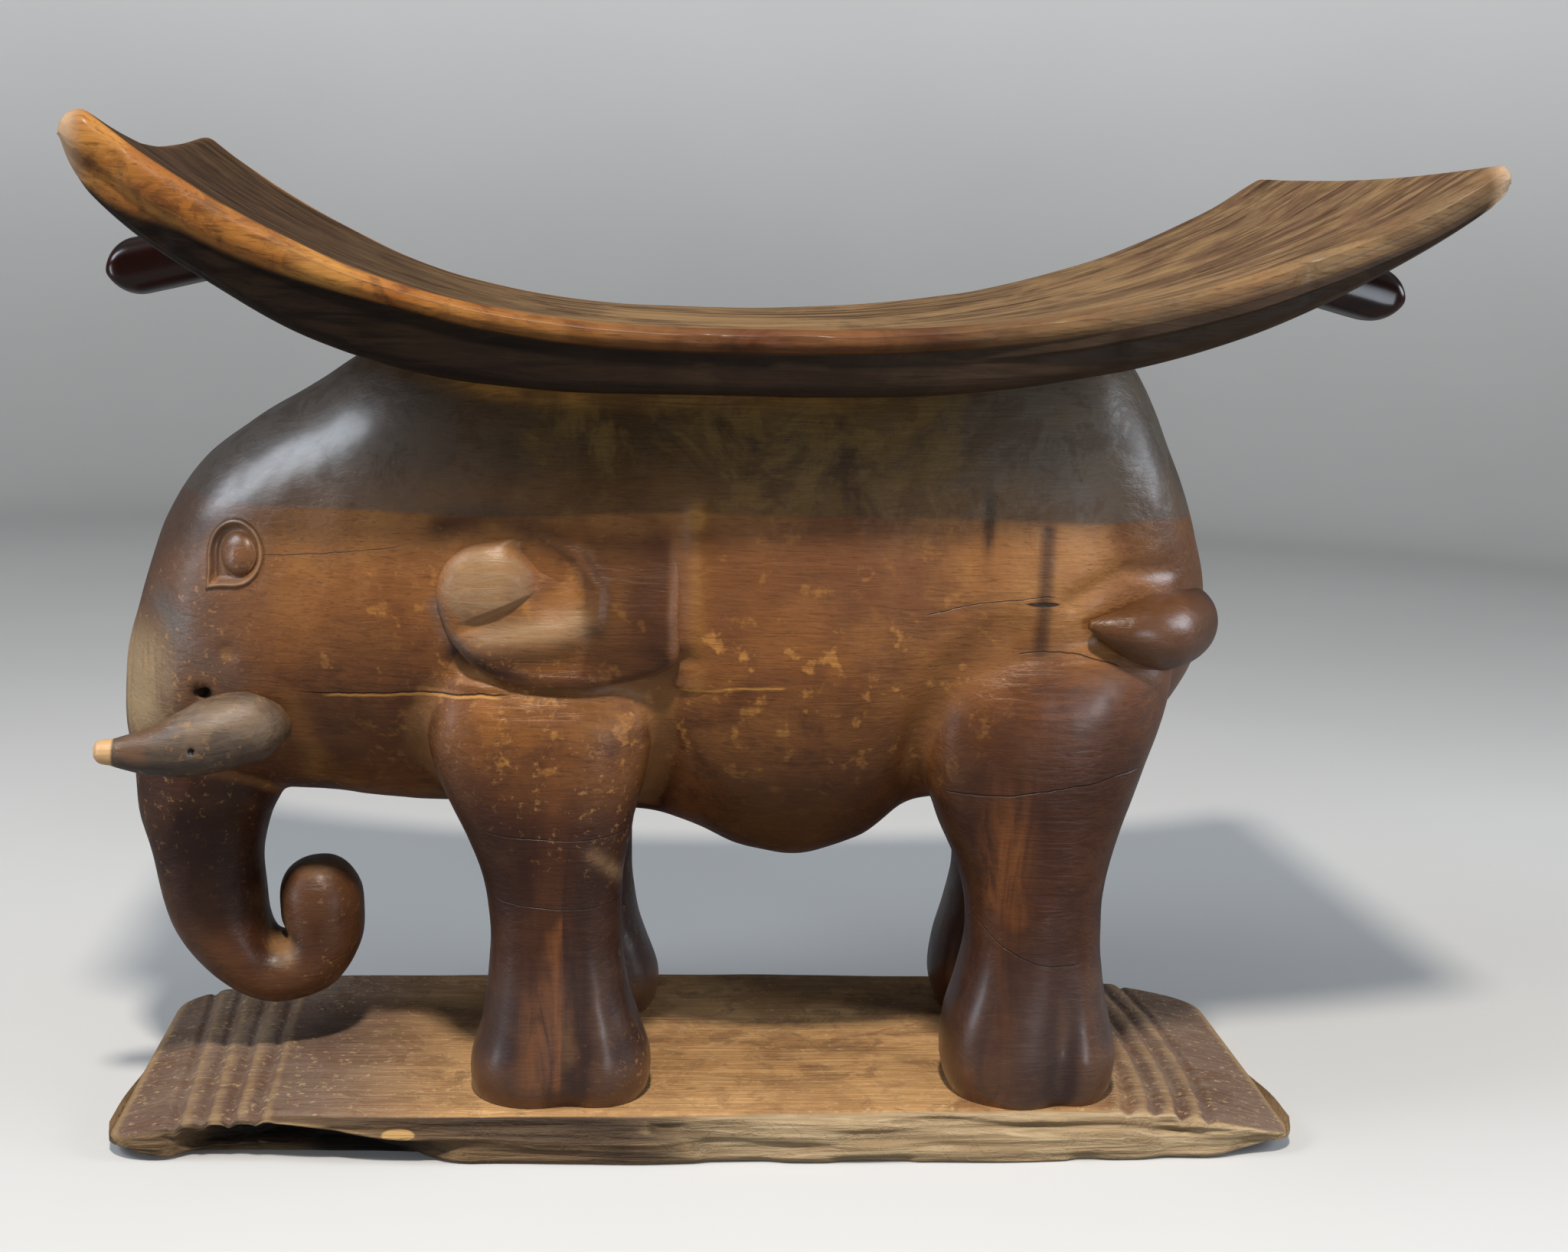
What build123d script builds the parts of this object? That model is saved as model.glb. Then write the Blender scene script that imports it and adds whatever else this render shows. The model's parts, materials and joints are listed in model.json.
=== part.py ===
from build123d import *
import os
from math import cos, log, pi, radians, sin

# A low stool carved as a standing elephant: a slab base, an elephant with a curled trunk, and a curved,
# dished seat on its back.  Millimetres, +Z up, the elephant looks along -X.  The origin is the middle of
# the base's underside.  Names with left_ are on the -Y side, the elephant's own left.

# ---------------------------------------------------------------- driving sizes
# base slab
base_length = 566.0
base_depth = 206.0
base_thickness = 24.0
base_end_thickness = 10.0
base_level_length = 388.0        # level top between the two sloping ends
base_end_drop = 0.32             # how much of the drop is reached halfway down a sloping end
base_side_bow = 7.0              # the long sides swell by this much at the middle
base_corner_radius = 16.0
base_edge_round = 3.0
groove_count = 4                 # cut across each sloping end
groove_pitch = 13.5
groove_first = 7.0               # from the end of the level top to the first groove
groove_radius = 1.8
groove_depth = 1.2

# seat slab
seat_head_end = -279.0           # where its end over the head stands
seat_tail_end = 315.0            # where its end over the tail stands, at the middle of the depth
seat_tail_slant = 11.0           # that end runs out this much at the near side and in at the far side
seat_depth = 296.0
seat_low_x = -10.0               # lowest place along the seat
sitting_height = 391.0           # rim height at the lowest place
head_tip_height = 481.0          # where the top would end without its round nose
tail_tip_height = 469.0
seat_thickness = 29.0            # at the lowest place
head_tip_thickness = 24.0
tail_tip_thickness = 15.0
head_tip_round = 8.0
tail_tip_round = 4.0
seat_hollow = 6.0                # dish across the depth, rim to middle
seat_top_power = 2.5             # how late the top sweeps up towards the tips
under_power_head = 3.4           # the same for the underside, head end
under_power_tail = 2.8           # and tail end
rim_height = 10.0                # rolled rim along both long sides
rim_overhang = 5.0

# elephant's body
neck_x = -100.0                  # where the head is jointed on, under the ears
head_length = 184.0
torso_length = 340.0
body_width = 190.0
head_width = 140.0
face_width = 52.0
belly_height = 126.0
chest_height = 150.0
jaw_height = 157.0
groin_height = 158.0
body_fullness = 2.5              # 2 is an ellipse, more is squarer
uncut_crown = 40.0               # the back rises this far past the seat's underside before it is cut to it

# trunk
trunk_joint_height = 166.0
trunk_root_length = 79.0
trunk_root_width = 76.0
trunk_bottom_height = 47.0
trunk_curl_x = -194.0            # middle of the turned-up tip
trunk_tip_height = 119.0
trunk_fullness = 2.2

# legs
foot_length = 84.0
foot_width = 72.0
leg_spread = 60.0                # leg centre to the middle plane
front_leg_x = -75.0
hind_leg_x = 156.0
right_front_shift = 6.0          # the right legs stand this much further back than the left ones
right_hind_shift = 12.0
front_joint_height = 155.0
hind_joint_height = 176.0
front_ankle_length = 62.0
hind_ankle_length = 65.0
ankle_width = 60.0
shoulder_length = 110.0
haunch_length = 112.0
shoulder_width = 72.0
shoulder_rise = 48.0             # from the leg's joint to the widest place of the shoulder or haunch
front_leg_lean = -8.0            # the shoulder stands this far from above the foot, along X
hind_leg_lean = 3.0
leg_fullness = 2.3

# tusks
tusk_root = (-206.0, 52.0, 200.0)        # x, distance from the middle plane, height
tusk_bend = (-238.0, 67.0, 195.5)
tusk_tip = (-278.0, 78.0, 190.5)
tusk_root_radius = 17.0
tusk_bend_radius = 15.0
tusk_tip_radius = 5.5

# ears
ear_front_x = -130.0
ear_rear_x = -24.0
ear_bottom = 227.0
ear_top = 300.0
ear_side = 102.0                 # outer face to the middle plane
ear_round = 5.0
ear_front_round = 29.0
ear_lobe_radius = 25.0
ear_lobe_height = 38.0           # middle of the lobe above the ear's lower edge
ear_lobe_sink = 12.0             # middle of the lobe below the ear's outer face
ear_lobe_lift = 3.0
ear_inner_side = 60.0            # how deep the uncut ear block starts

# eyes
eye_x = -222.0
eye_height = 281.0
eye_side = 62.0
eye_length = 19.0
eye_tall = 23.0
eye_bulge = 10.0                 # half its depth, most of it sunk in the head

# tail
tail_root_height = 259.0
tail_side = 94.0
tail_end_x = 168.0
tail_end_height = 259.0
tail_radius = 18.0
tail_end_radius = 4.0

# lugs under the seat's ends
lug_reach_head = 10.0            # past the seat's end
lug_reach_tail = 15.0
lug_height_head = 404.0
lug_height_tail = 408.0
lug_thickness = 27.0
lug_width = 44.0
lug_length = 74.0
lug_tilt = 14.0
lug_round = 5.0
lug_peg_share = 0.55             # how far along the covered part of a lug its peg stands

# joints between members
fit_gap = 0.15                   # all round a tenon
tenon_end_gap = 0.5
foot_tenon_length = 34.0
foot_tenon_width = 26.0
foot_tenon_depth = 14.0
leg_tenon_length = 36.0
leg_tenon_width = 30.0
leg_tenon_depth = 24.0
neck_tenon_width = 70.0
neck_tenon_height = 90.0
neck_tenon_depth = 34.0
seat_tenon_length = 190.0
seat_tenon_width = 64.0
seat_tenon_depth = 12.0
seat_tenon_root = 10.0           # how far that tenon reaches down inside the back
trunk_tenon_radius = 14.0
trunk_tenon_depth = 26.0
stub_radius = 6.0                # pegs of the tusks, ears, tail and lugs
stub_depth = 9.0
tusk_stub_depth = 16.0
tusk_stub_reach = 4.0            # into the tusk, past its axis
ear_stub_root = 6.0              # an ear's peg starts this far inside the flank's widest place
tail_stub_reach = 10.0           # from the tail's outer side to its peg
tail_stub_length = 20.0
tail_stub_drop = 5.0             # its peg stands this much below the tail's root
cut_margin = 20.0                # how far a cutter runs past what it cuts

# ---------------------------------------------------------------- lines that several pieces share
under_low = sitting_height - seat_thickness
face_x = neck_x - head_length
rump_x = neck_x + torso_length
body_half = body_width / 2
head_half = head_width / 2
body_crown = under_low + uncut_crown
seat_half = seat_depth / 2


def swept_height(x, low, head_tip, tail_tip, head_power, tail_power, tail_end):
    """Height of a line that is lowest at seat_low_x and sweeps up to both ends of the seat."""
    if x < seat_low_x:
        share = (seat_low_x - x) / (seat_low_x - seat_head_end)
        return low + (head_tip - low) * share ** head_power
    share = (x - seat_low_x) / (tail_end - seat_low_x)
    return low + (tail_tip - low) * share ** tail_power


def top_height(x, tail_end, lower=0.0):
    """Height of the seat's top, or of a line that runs below it."""
    return swept_height(x, sitting_height - lower, head_tip_height - lower, tail_tip_height - lower,
                        seat_top_power, seat_top_power, tail_end)


def under_height(x, tail_end):
    """Height of the seat's underside."""
    return swept_height(x, under_low, head_tip_height - head_tip_thickness,
                        tail_tip_height - tail_tip_thickness, under_power_head, under_power_tail, tail_end)


def seat_stations(tail_end, spans=12):
    """Places along the seat between its round noses, closer together towards them."""
    start, end = seat_head_end + head_tip_round, tail_end - tail_tip_round
    return [start + (end - start) * (1 - cos(pi * i / spans)) / 2 for i in range(spans + 1)]


def oval(plane, half_length, half_width, fullness=2.0, count=16):
    """A closed super-ellipse on a plane: |x/a|^n + |y/b|^n = 1."""
    def part(value):
        return abs(value) ** (2.0 / fullness) * (1 if value > 0 else -1)
    points = [(half_length * part(cos(2 * pi * i / count)), half_width * part(sin(2 * pi * i / count)))
              for i in range(count)]
    return plane * make_face(Spline(*points, periodic=True))


def both_sides(piece):
    """A left piece and its mirror image."""
    return piece, mirror(piece, about=Plane.XZ)


def leg_pair(left, shift):
    """A left leg, or what belongs to it, and its mirror image set back by shift."""
    return left, Pos(shift, 0, 0) * mirror(left, about=Plane.XZ)


def one_solid(shape):
    """The largest solid of a shape, without slivers."""
    return max(shape.solids(), key=lambda solid: solid.volume)


def block(length, width, height, centre):
    return Pos(*centre) * Box(length, width, height)


def wider(size):
    """A hole's size for a tenon of this size."""
    return size + 2 * fit_gap


# ---------------------------------------------------------------- base slab
def make_base():
    half, mid = base_length / 2, base_depth / 2
    corner = mid - base_side_bow
    plan = make_face([
        Line((-half, -corner), (-half, corner)),
        ThreePointArc((-half, corner), (0, mid), (half, corner)),
        Line((half, corner), (half, -corner)),
        ThreePointArc((half, -corner), (0, -mid), (-half, -corner)),
    ])
    plan = fillet(plan.vertices(), base_corner_radius)
    slab = extrude(plan, base_thickness)
    level = base_level_length / 2
    shoulder = (half + level) / 2
    end_drop = base_thickness - base_end_thickness
    shoulder_height = base_thickness - end_drop * base_end_drop
    bend = log(base_end_drop) / log(0.5)
    side = make_face([
        Line((-half, 0), (half, 0)),
        Line((half, 0), (half, base_end_thickness)),
        ThreePointArc((half, base_end_thickness), (shoulder, shoulder_height), (level, base_thickness)),
        Line((level, base_thickness), (-level, base_thickness)),
        ThreePointArc((-level, base_thickness), (-shoulder, shoulder_height), (-half, base_end_thickness)),
        Line((-half, base_end_thickness), (-half, 0)),
    ])
    slab = slab & extrude(Plane.XZ * side, base_depth, both=True)
    slab = fillet(slab.faces().sort_by(Axis.Z)[0].edges(), base_edge_round)
    # cuts across the ends, each sunk to its depth below the sloping top
    for number in range(groove_count):
        out = level + groove_first + number * groove_pitch
        share = (out - level) / (half - level)
        top = base_thickness - end_drop * share ** bend
        for x in (-out, out):
            cutter = Pos(x, 0, top + groove_radius - groove_depth) * Rot(90, 0, 0)
            slab -= cutter * Cylinder(groove_radius, base_depth)
    depth = foot_tenon_depth + tenon_end_gap
    mortise = block(wider(foot_tenon_length), wider(foot_tenon_width), depth,
                    (0, -leg_spread, base_thickness - depth / 2))
    for x, shift in ((front_leg_x, right_front_shift), (hind_leg_x, right_hind_shift)):
        for cut in leg_pair(Pos(x, 0, 0) * mortise, shift):
            slab -= cut
    return one_solid(slab)


# ---------------------------------------------------------------- legs
def leg_sections(centre_x, y, joint_height, ankle_length, top_length, lean):
    """Ovals from the sole to inside the body: (height, x, half length, half width)."""
    rise = joint_height - base_thickness
    widest = joint_height + shoulder_rise
    rows = [
        (base_thickness, centre_x, foot_length * 0.46, foot_width * 0.46),
        (base_thickness + rise * 0.13, centre_x, foot_length / 2, foot_width / 2),
        (base_thickness + rise * 0.34, centre_x, (foot_length + ankle_length) / 4, ankle_width * 0.53),
        (base_thickness + rise * 0.58, centre_x, ankle_length / 2, ankle_width / 2),
        (joint_height - rise * 0.12, centre_x + lean * 0.3, ankle_length * 0.56, ankle_width * 0.53),
        (widest - shoulder_rise * 0.625, centre_x + lean * 0.7, top_length * 0.46, shoulder_width * 0.48),
        (widest, centre_x + lean, top_length / 2, shoulder_width / 2),
        (widest + shoulder_rise * 0.7, centre_x + lean, top_length * 0.44, shoulder_width * 0.40),
    ]
    return [oval(Plane((x, y, z)), a, b, leg_fullness) for z, x, a, b in rows]


def make_full_leg(centre_x, joint_height, ankle_length, top_length, lean):
    """A leg from the sole up into the body, before it is parted at its joint."""
    return loft(leg_sections(centre_x, -leg_spread, joint_height, ankle_length, top_length, lean))


def make_leg(full_leg, centre_x, joint_height):
    """The free part of a leg, with a tenon below for the base and one above for the body."""
    leg = split(full_leg, Plane((0, 0, joint_height)), keep=Keep.BOTTOM)
    leg += block(foot_tenon_length, foot_tenon_width, foot_tenon_depth,
                 (centre_x, -leg_spread, base_thickness - foot_tenon_depth / 2))
    leg += block(leg_tenon_length, leg_tenon_width, leg_tenon_depth,
                 (centre_x, -leg_spread, joint_height + leg_tenon_depth / 2))
    return one_solid(leg)


# ---------------------------------------------------------------- head and torso in one run
def body_section(x, top, bottom, half_width):
    plane = Plane((x, 0, (top + bottom) / 2), x_dir=(0, 0, 1), z_dir=(1, 0, 0))
    return oval(plane, (top - bottom) / 2, half_width, body_fullness)


def make_body_run():
    """The elephant from brow to rump, without legs or trunk, rising past the seat's underside."""
    mouth = trunk_joint_height
    rows = [
        # brow and cheeks: place from the face, drop below the seat's underside, height below, half width
        (face_x, under_low - 152, mouth + 18, face_width * 0.30),
        (face_x + 2, under_low - 132, mouth + 8, face_width * 0.52),
        (face_x + 8, under_low - 105, jaw_height + 2, face_width * 0.75),
        (face_x + 20, under_low - 73, jaw_height, head_half * 0.73),
        (face_x + 38, under_low - 44, jaw_height, head_half * 0.87),
        (face_x + 64, under_low - 22, jaw_height, head_half * 0.98),
        (face_x + 94, under_low - 6, jaw_height - 1, head_half * 1.08),
        (face_x + 124, under_low + 12, jaw_height - 4, (head_half + body_half) * 0.51),
        # shoulders, belly and haunches
        (neck_x, under_low + 28, chest_height, body_half * 0.94),
        (neck_x + 66, body_crown, chest_height - 2, body_half * 0.98),
        (neck_x + 139, body_crown, belly_height, body_half),
        (neck_x + 200, body_crown, groin_height - 6, body_half),
        (rump_x - 82, body_crown, groin_height + 2, body_half * 0.98),
        (rump_x - 48, under_low + 12, groin_height + 18, body_half * 0.87),
        (rump_x - 28, under_low - 26, groin_height + 36, body_half * 0.70),
        (rump_x - 15, under_low - 56, groin_height + 50, body_half * 0.52),
        (rump_x - 5, under_low - 84, groin_height + 64, body_half * 0.34),
        (rump_x, under_low - 98, groin_height + 78, body_half * 0.18),
    ]
    return loft([body_section(*row) for row in rows])


def make_trunk_run():
    """The trunk along its middle line: x, height, heading, half length and half width of its section.

    The heading is 0 straight down, 90 level towards the tail and 180 straight up."""
    half_root = trunk_root_length / 2
    root_x = face_x + half_root
    half_width = trunk_root_width / 2
    low = trunk_bottom_height
    curl = trunk_curl_x
    rows = [
        (root_x, trunk_joint_height + 22, 0, half_root * 0.98, half_width),
        (root_x, trunk_joint_height - 4, 0, half_root * 0.98, half_width * 0.96),
        (root_x - 5, trunk_joint_height - 26, 0, half_root * 0.77, half_width * 0.80),
        (root_x - 4, low + 72, 5, half_root * 0.66, half_width * 0.72),
        (root_x - 0.5, low + 50, 14, half_root * 0.61, half_width * 0.70),
        (root_x + 9, low + 29, 40, half_root * 0.49, half_width * 0.68),
        (root_x + 28, low + 15, 85, half_root * 0.39, half_width * 0.64),
        (curl - 3, low + 22.5, 132, half_root * 0.42, half_width * 0.62),
        (curl + 0.5, trunk_tip_height - 31, 172, half_root * 0.50, half_width * 0.60),
        (curl, trunk_tip_height - 14, 180, half_root * 0.54, half_width * 0.60),
        (curl - 0.5, trunk_tip_height, 180, half_root * 0.40, half_width * 0.48),
    ]
    sections = []
    for x, z, heading, half_length, half_across in rows:
        turn = radians(heading)
        plane = Plane((x, 0, z), x_dir=(-cos(turn), 0, -sin(turn)), z_dir=(sin(turn), 0, -cos(turn)))
        sections.append(oval(plane, half_length, half_across, trunk_fullness))
    return loft(sections)


def make_tusk_run():
    """Left tusk: circles along the three points of its axis, rounded off at the tip."""
    def at(point):
        return Vector(point[0], -point[1], point[2])
    root, bend, tip = at(tusk_root), at(tusk_bend), at(tusk_tip)
    onward = (tip - bend).normalized()
    rows = [
        (root, bend - root, tusk_root_radius),
        ((root + bend) / 2 + (0, 0, 0.5), bend - root, (tusk_root_radius + tusk_bend_radius) / 2 + 0.5),
        (bend, tip - root, tusk_bend_radius),
        ((bend + tip) / 2, tip - bend, (tusk_bend_radius + tusk_tip_radius) / 2),
        (tip, onward, tusk_tip_radius),
        (tip + onward * tusk_tip_radius * 0.6, onward, tusk_tip_radius * 0.8),
        (tip + onward * tusk_tip_radius * 0.95, onward, tusk_tip_radius * 0.3),
    ]
    return loft([Plane(p, x_dir=(0, 0, 1), z_dir=way) * Circle(radius) for p, way, radius in rows])


def make_ear_block():
    """Left ear before its back is cut to the flank: a rounded plate with a rolled lobe in front."""
    front, rear, low, top = ear_front_x, ear_rear_x, ear_bottom, ear_top
    outline = make_face(Polyline((rear - 4, top), (rear, low), (front, low), (front, top - 6), close=True))
    corners = outline.vertices().sort_by(Axis.X)
    outline = fillet(corners[:2], ear_front_round)
    outline = fillet(outline.vertices().sort_by(Axis.X)[-2:], ear_round + 2)
    plate = extrude(Plane.XZ.offset(ear_inner_side) * outline, ear_side - ear_inner_side)
    plate = fillet(plate.faces().sort_by(Axis.Y)[0].edges(), ear_round)
    lobe = scale(Sphere(1), (ear_lobe_radius, ear_lobe_sink + ear_lobe_lift, ear_lobe_radius))
    lobe_x = front + ear_lobe_radius + 1
    return plate + Pos(lobe_x, -ear_side + ear_lobe_sink, low + ear_lobe_height) * lobe


def make_tail_run():
    """The tail, laid from the middle of the rump round onto the left flank."""
    rows = [
        (rump_x - 9, 4, tail_root_height, tail_radius * 0.78),
        (rump_x - 14, 34, tail_root_height, tail_radius * 0.90),
        (rump_x - 27, 62, tail_root_height - 2, tail_radius),
        (rump_x - 40, tail_side - 12, tail_root_height - 4, tail_radius * 0.96),
        (rump_x - 55, tail_side - 3, tail_root_height - 3, tail_radius * 0.70),
        (tail_end_x, tail_side, tail_end_height, tail_end_radius),
    ]
    points = [Vector(x, -y, z) for x, y, z, _ in rows]
    sections = []
    for i, (point, row) in enumerate(zip(points, rows)):
        way = points[min(i + 1, len(rows) - 1)] - points[max(i - 1, 0)]
        sections.append(Plane(point, x_dir=(0, 0, 1), z_dir=way) * Circle(row[3]))
    return loft(sections)


# ---------------------------------------------------------------- seat
def make_seat():
    sections = []
    for share in (-1, 0, 1):
        tail_end = seat_tail_end - seat_tail_slant * share
        lower = 0.0 if share else seat_hollow
        top = [(x, top_height(x, tail_end, lower)) for x in seat_stations(tail_end)]
        under = [(x, under_height(x, tail_end)) for x in seat_stations(tail_end)]
        tail_nose = (tail_end, (top[-1][1] + under[-1][1]) / 2)
        head_nose = (seat_head_end, (top[0][1] + under[0][1]) / 2)
        side = make_face([Spline(*top), ThreePointArc(top[-1], tail_nose, under[-1]),
                          Spline(*reversed(under)), ThreePointArc(under[0], head_nose, top[0])])
        sections.append(Plane.XZ.offset(-seat_half * share) * side)
    slab = loft(sections)
    # below the rolled rim each long side is cut back
    near_end = seat_tail_end + seat_tail_slant + 1
    rim_line = [(x, top_height(x, near_end, rim_height)) for x in seat_stations(near_end)]
    (first_x, first_z), (last_x, last_z) = rim_line[0], rim_line[-1]
    floor = under_low - cut_margin
    outer = Polyline((last_x, last_z), (last_x + cut_margin, last_z), (last_x + cut_margin, floor),
                     (first_x - cut_margin, floor), (first_x - cut_margin, first_z), (first_x, first_z))
    below = extrude(Plane.XZ * make_face([Spline(*rim_line), outer]), cut_margin)
    inner_side = seat_half - rim_overhang
    slab -= Pos(0, -inner_side, 0) * below
    slab -= Pos(0, inner_side + cut_margin, 0) * below
    return slab


def make_lug(end_x, reach, height, toward):
    """A tongue with a round nose that points out and down from under the seat; toward is -1 or 1."""
    nose_x = end_x + toward * reach
    tongue = extrude(Plane.XZ * SlotOverall(lug_length, lug_thickness), lug_width / 2, both=True)
    tongue = fillet(tongue.faces().sort_by(Axis.Y)[0].edges() + tongue.faces().sort_by(Axis.Y)[-1].edges(),
                    lug_round)
    swing = Pos(nose_x, 0, height) * Rot(0, toward * lug_tilt, 0)
    return swing * Pos(-toward * lug_length / 2, 0, 0) * tongue


# ---------------------------------------------------------------- pegs and their bores
def side_peg(x, height, outer, inner, gap=0.0):
    """A round peg square to the left flank, between two distances from the middle plane."""
    length = outer - inner + gap * 3
    return Pos(x, -(outer - length / 2), height) * Rot(90, 0, 0) * Cylinder(stub_radius + gap, length)


def upright_peg(x, low, high, gap=0.0):
    """A round peg on the middle plane between two heights."""
    length = high - low + gap * 3
    return Pos(x, 0, low + length / 2) * Cylinder(stub_radius + gap, length)


def without(owner, *cutters):
    for cutter in cutters:
        owner = owner - cutter
    return one_solid(owner)


def fitted_pair(left_raw, left_peg, *owners):
    """A left piece and its mirror image, each cut to the surfaces it sits on and then given its peg."""
    return [one_solid(without(raw, *owners) + peg)
            for raw, peg in zip(both_sides(left_raw), both_sides(left_peg))]


# ---------------------------------------------------------------- head and trunk
body_run = make_body_run()
neck_plane = Plane.YZ.offset(neck_x)
trunk_run = make_trunk_run()
trunk_plane = Plane((0, 0, trunk_joint_height))
trunk_tenon_x = face_x + trunk_root_length / 2


def make_trunk():
    """The trunk below its joint, with a round tenon up into the head."""
    tenon = Pos(trunk_tenon_x, 0, trunk_joint_height + trunk_tenon_depth / 2)
    return one_solid(split(trunk_run, trunk_plane, keep=Keep.BOTTOM)
                     + tenon * Cylinder(trunk_tenon_radius, trunk_tenon_depth))


def make_head(seat, eyes, tusk_bores):
    """The head in front of the neck joint, with a tenon back into the torso."""
    head = split(body_run, neck_plane, keep=Keep.BOTTOM) + split(trunk_run, trunk_plane, keep=Keep.TOP)
    head = without(head, split(trunk_run, trunk_plane, keep=Keep.BOTTOM),
                   *leg_pair(front_run, right_front_shift), seat)
    mortise_depth = trunk_tenon_depth + tenon_end_gap
    head -= (Pos(trunk_tenon_x, 0, trunk_joint_height + mortise_depth / 2)
             * Cylinder(trunk_tenon_radius + fit_gap, mortise_depth))
    head += block(neck_tenon_depth, neck_tenon_width, neck_tenon_height,
                  (neck_x + neck_tenon_depth / 2, 0, neck_tenon_centre))
    return without(head, *eyes, *tusk_bores)


# ---------------------------------------------------------------- build the members
neck_tenon_centre = (chest_height + under_low) / 2
base = make_base()
seat_slab = make_seat()
front_run = make_full_leg(front_leg_x, front_joint_height, front_ankle_length, shoulder_length,
                          front_leg_lean)
hind_run = make_full_leg(hind_leg_x, hind_joint_height, hind_ankle_length, haunch_length, hind_leg_lean)
leg_runs = ((front_run, front_leg_x, front_joint_height, right_front_shift),
            (hind_run, hind_leg_x, hind_joint_height, right_hind_shift))

left_eye = Pos(eye_x, -eye_side, eye_height) * scale(Sphere(1), (eye_length / 2, eye_bulge, eye_tall / 2))
eye_socket = Pos(eye_x, -eye_side, eye_height) * scale(
    Sphere(1), (eye_length / 2 + fit_gap, eye_bulge + fit_gap, eye_tall / 2 + fit_gap))

tusk_peg_x = (tusk_root[0] + tusk_bend[0]) / 2
tusk_peg_height = (tusk_root[2] + tusk_bend[2]) / 2
tusk_peg_ends = (tusk_root[1] + tusk_stub_reach, tusk_root[1] - tusk_stub_depth)
tusk_bore = side_peg(tusk_peg_x, tusk_peg_height, *tusk_peg_ends, gap=fit_gap)

trunk = make_trunk()
head = make_head(seat_slab, both_sides(eye_socket), both_sides(tusk_bore))
tusks = fitted_pair(make_tusk_run(), side_peg(tusk_peg_x, tusk_peg_height, *tusk_peg_ends), head)

# torso: the run behind the neck, the tops of the legs, a tenon up into the seat
torso = split(body_run, neck_plane, keep=Keep.TOP)
for run, leg_x, joint_height, shift in leg_runs:
    for leg in leg_pair(split(run, Plane((0, 0, joint_height)), keep=Keep.BOTTOM), shift):
        torso -= leg
    for stump in leg_pair(split(run, Plane((0, 0, joint_height)), keep=Keep.TOP), shift):
        torso += stump
torso = without(torso, seat_slab)
for run, leg_x, joint_height, shift in leg_runs:
    depth = leg_tenon_depth + tenon_end_gap
    mortise = block(wider(leg_tenon_length), wider(leg_tenon_width), depth,
                    (leg_x, -leg_spread, joint_height + depth / 2))
    for cut in leg_pair(mortise, shift):
        torso -= cut
depth = neck_tenon_depth + tenon_end_gap
torso -= block(depth, wider(neck_tenon_width), wider(neck_tenon_height),
               (neck_x + depth / 2, 0, neck_tenon_centre))
seat_tenon_x = (neck_x + rump_x) / 2
torso += block(seat_tenon_length, seat_tenon_width, seat_tenon_depth + seat_tenon_root,
               (seat_tenon_x, 0, under_low + (seat_tenon_depth - seat_tenon_root) / 2))

ear_peg_x = (neck_x + ear_rear_x) / 2
ear_peg_height = (ear_bottom + ear_top) / 2
ear_peg_ends = (ear_side - ear_round, body_half - ear_stub_root - stub_depth)
ear_bore = side_peg(ear_peg_x, ear_peg_height, *ear_peg_ends, gap=fit_gap)
ears = fitted_pair(make_ear_block(), side_peg(ear_peg_x, ear_peg_height, *ear_peg_ends), torso, head)

tail_peg_x = rump_x - 40
tail_peg_height = tail_root_height - tail_stub_drop
tail_peg_ends = (tail_side - tail_stub_reach, tail_side - tail_stub_reach - tail_stub_length)
tail_bore = side_peg(tail_peg_x, tail_peg_height, *tail_peg_ends, gap=fit_gap)
tail = one_solid(without(make_tail_run(), torso) + side_peg(tail_peg_x, tail_peg_height, *tail_peg_ends))
torso = without(torso, *both_sides(ear_bore), tail_bore)

# seat: mortise for the torso's tenon, bores for the lugs' pegs
depth = seat_tenon_depth + tenon_end_gap
seat = seat_slab - block(wider(seat_tenon_length), wider(seat_tenon_width), depth + seat_tenon_root,
                         (seat_tenon_x, 0, under_low + (depth - seat_tenon_root) / 2))
lugs = {}
for name, end_x, reach, height, toward in (
        ("head_end_lug", seat_head_end, lug_reach_head, lug_height_head, -1),
        ("tail_end_lug", seat_tail_end, lug_reach_tail, lug_height_tail, 1)):
    peg_x = end_x - toward * (lug_length - reach) * lug_peg_share
    under = under_height(peg_x, seat_tail_end)
    peg_ends = (under - stub_depth, under + stub_depth)
    lug = without(make_lug(end_x, reach, height, toward), seat_slab)
    lugs[name] = one_solid(lug + upright_peg(peg_x, *peg_ends))
    seat -= upright_peg(peg_x, *peg_ends, gap=fit_gap)
seat = one_solid(seat)

# ---------------------------------------------------------------- write one file for each member
pieces = {"base_plinth": base, "seat": seat, "torso": torso, "head": head, "trunk": trunk, "tail": tail}
pieces.update(lugs)
for name, pair in (("tusk", tusks), ("ear", ears), ("eye", both_sides(left_eye))):
    pieces["left_" + name], pieces["right_" + name] = pair
for name, (run, leg_x, joint_height, shift) in zip(("front_leg", "hind_leg"), leg_runs):
    pieces["left_" + name], pieces["right_" + name] = leg_pair(make_leg(run, leg_x, joint_height), shift)

os.makedirs("parts", exist_ok=True)
for name, piece in pieces.items():
    piece.label = name
    export_step(piece, "parts/" + name + ".step")
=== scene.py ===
# %% [markdown]
# # An elephant stool, carved from one log
#
# The real stool has no screws and no glue: seat, elephant and base are one piece of dark, waxed hardwood. What makes
# it look real is how the forms flow into each other, so the elephant is built as soft skins that are melted together
# and then cut like clay, while the seat, the base and the small parts are skins of their own.
#
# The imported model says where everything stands. Its corners give the few places that all later cells start from.

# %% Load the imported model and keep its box
import json
import math

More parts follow.
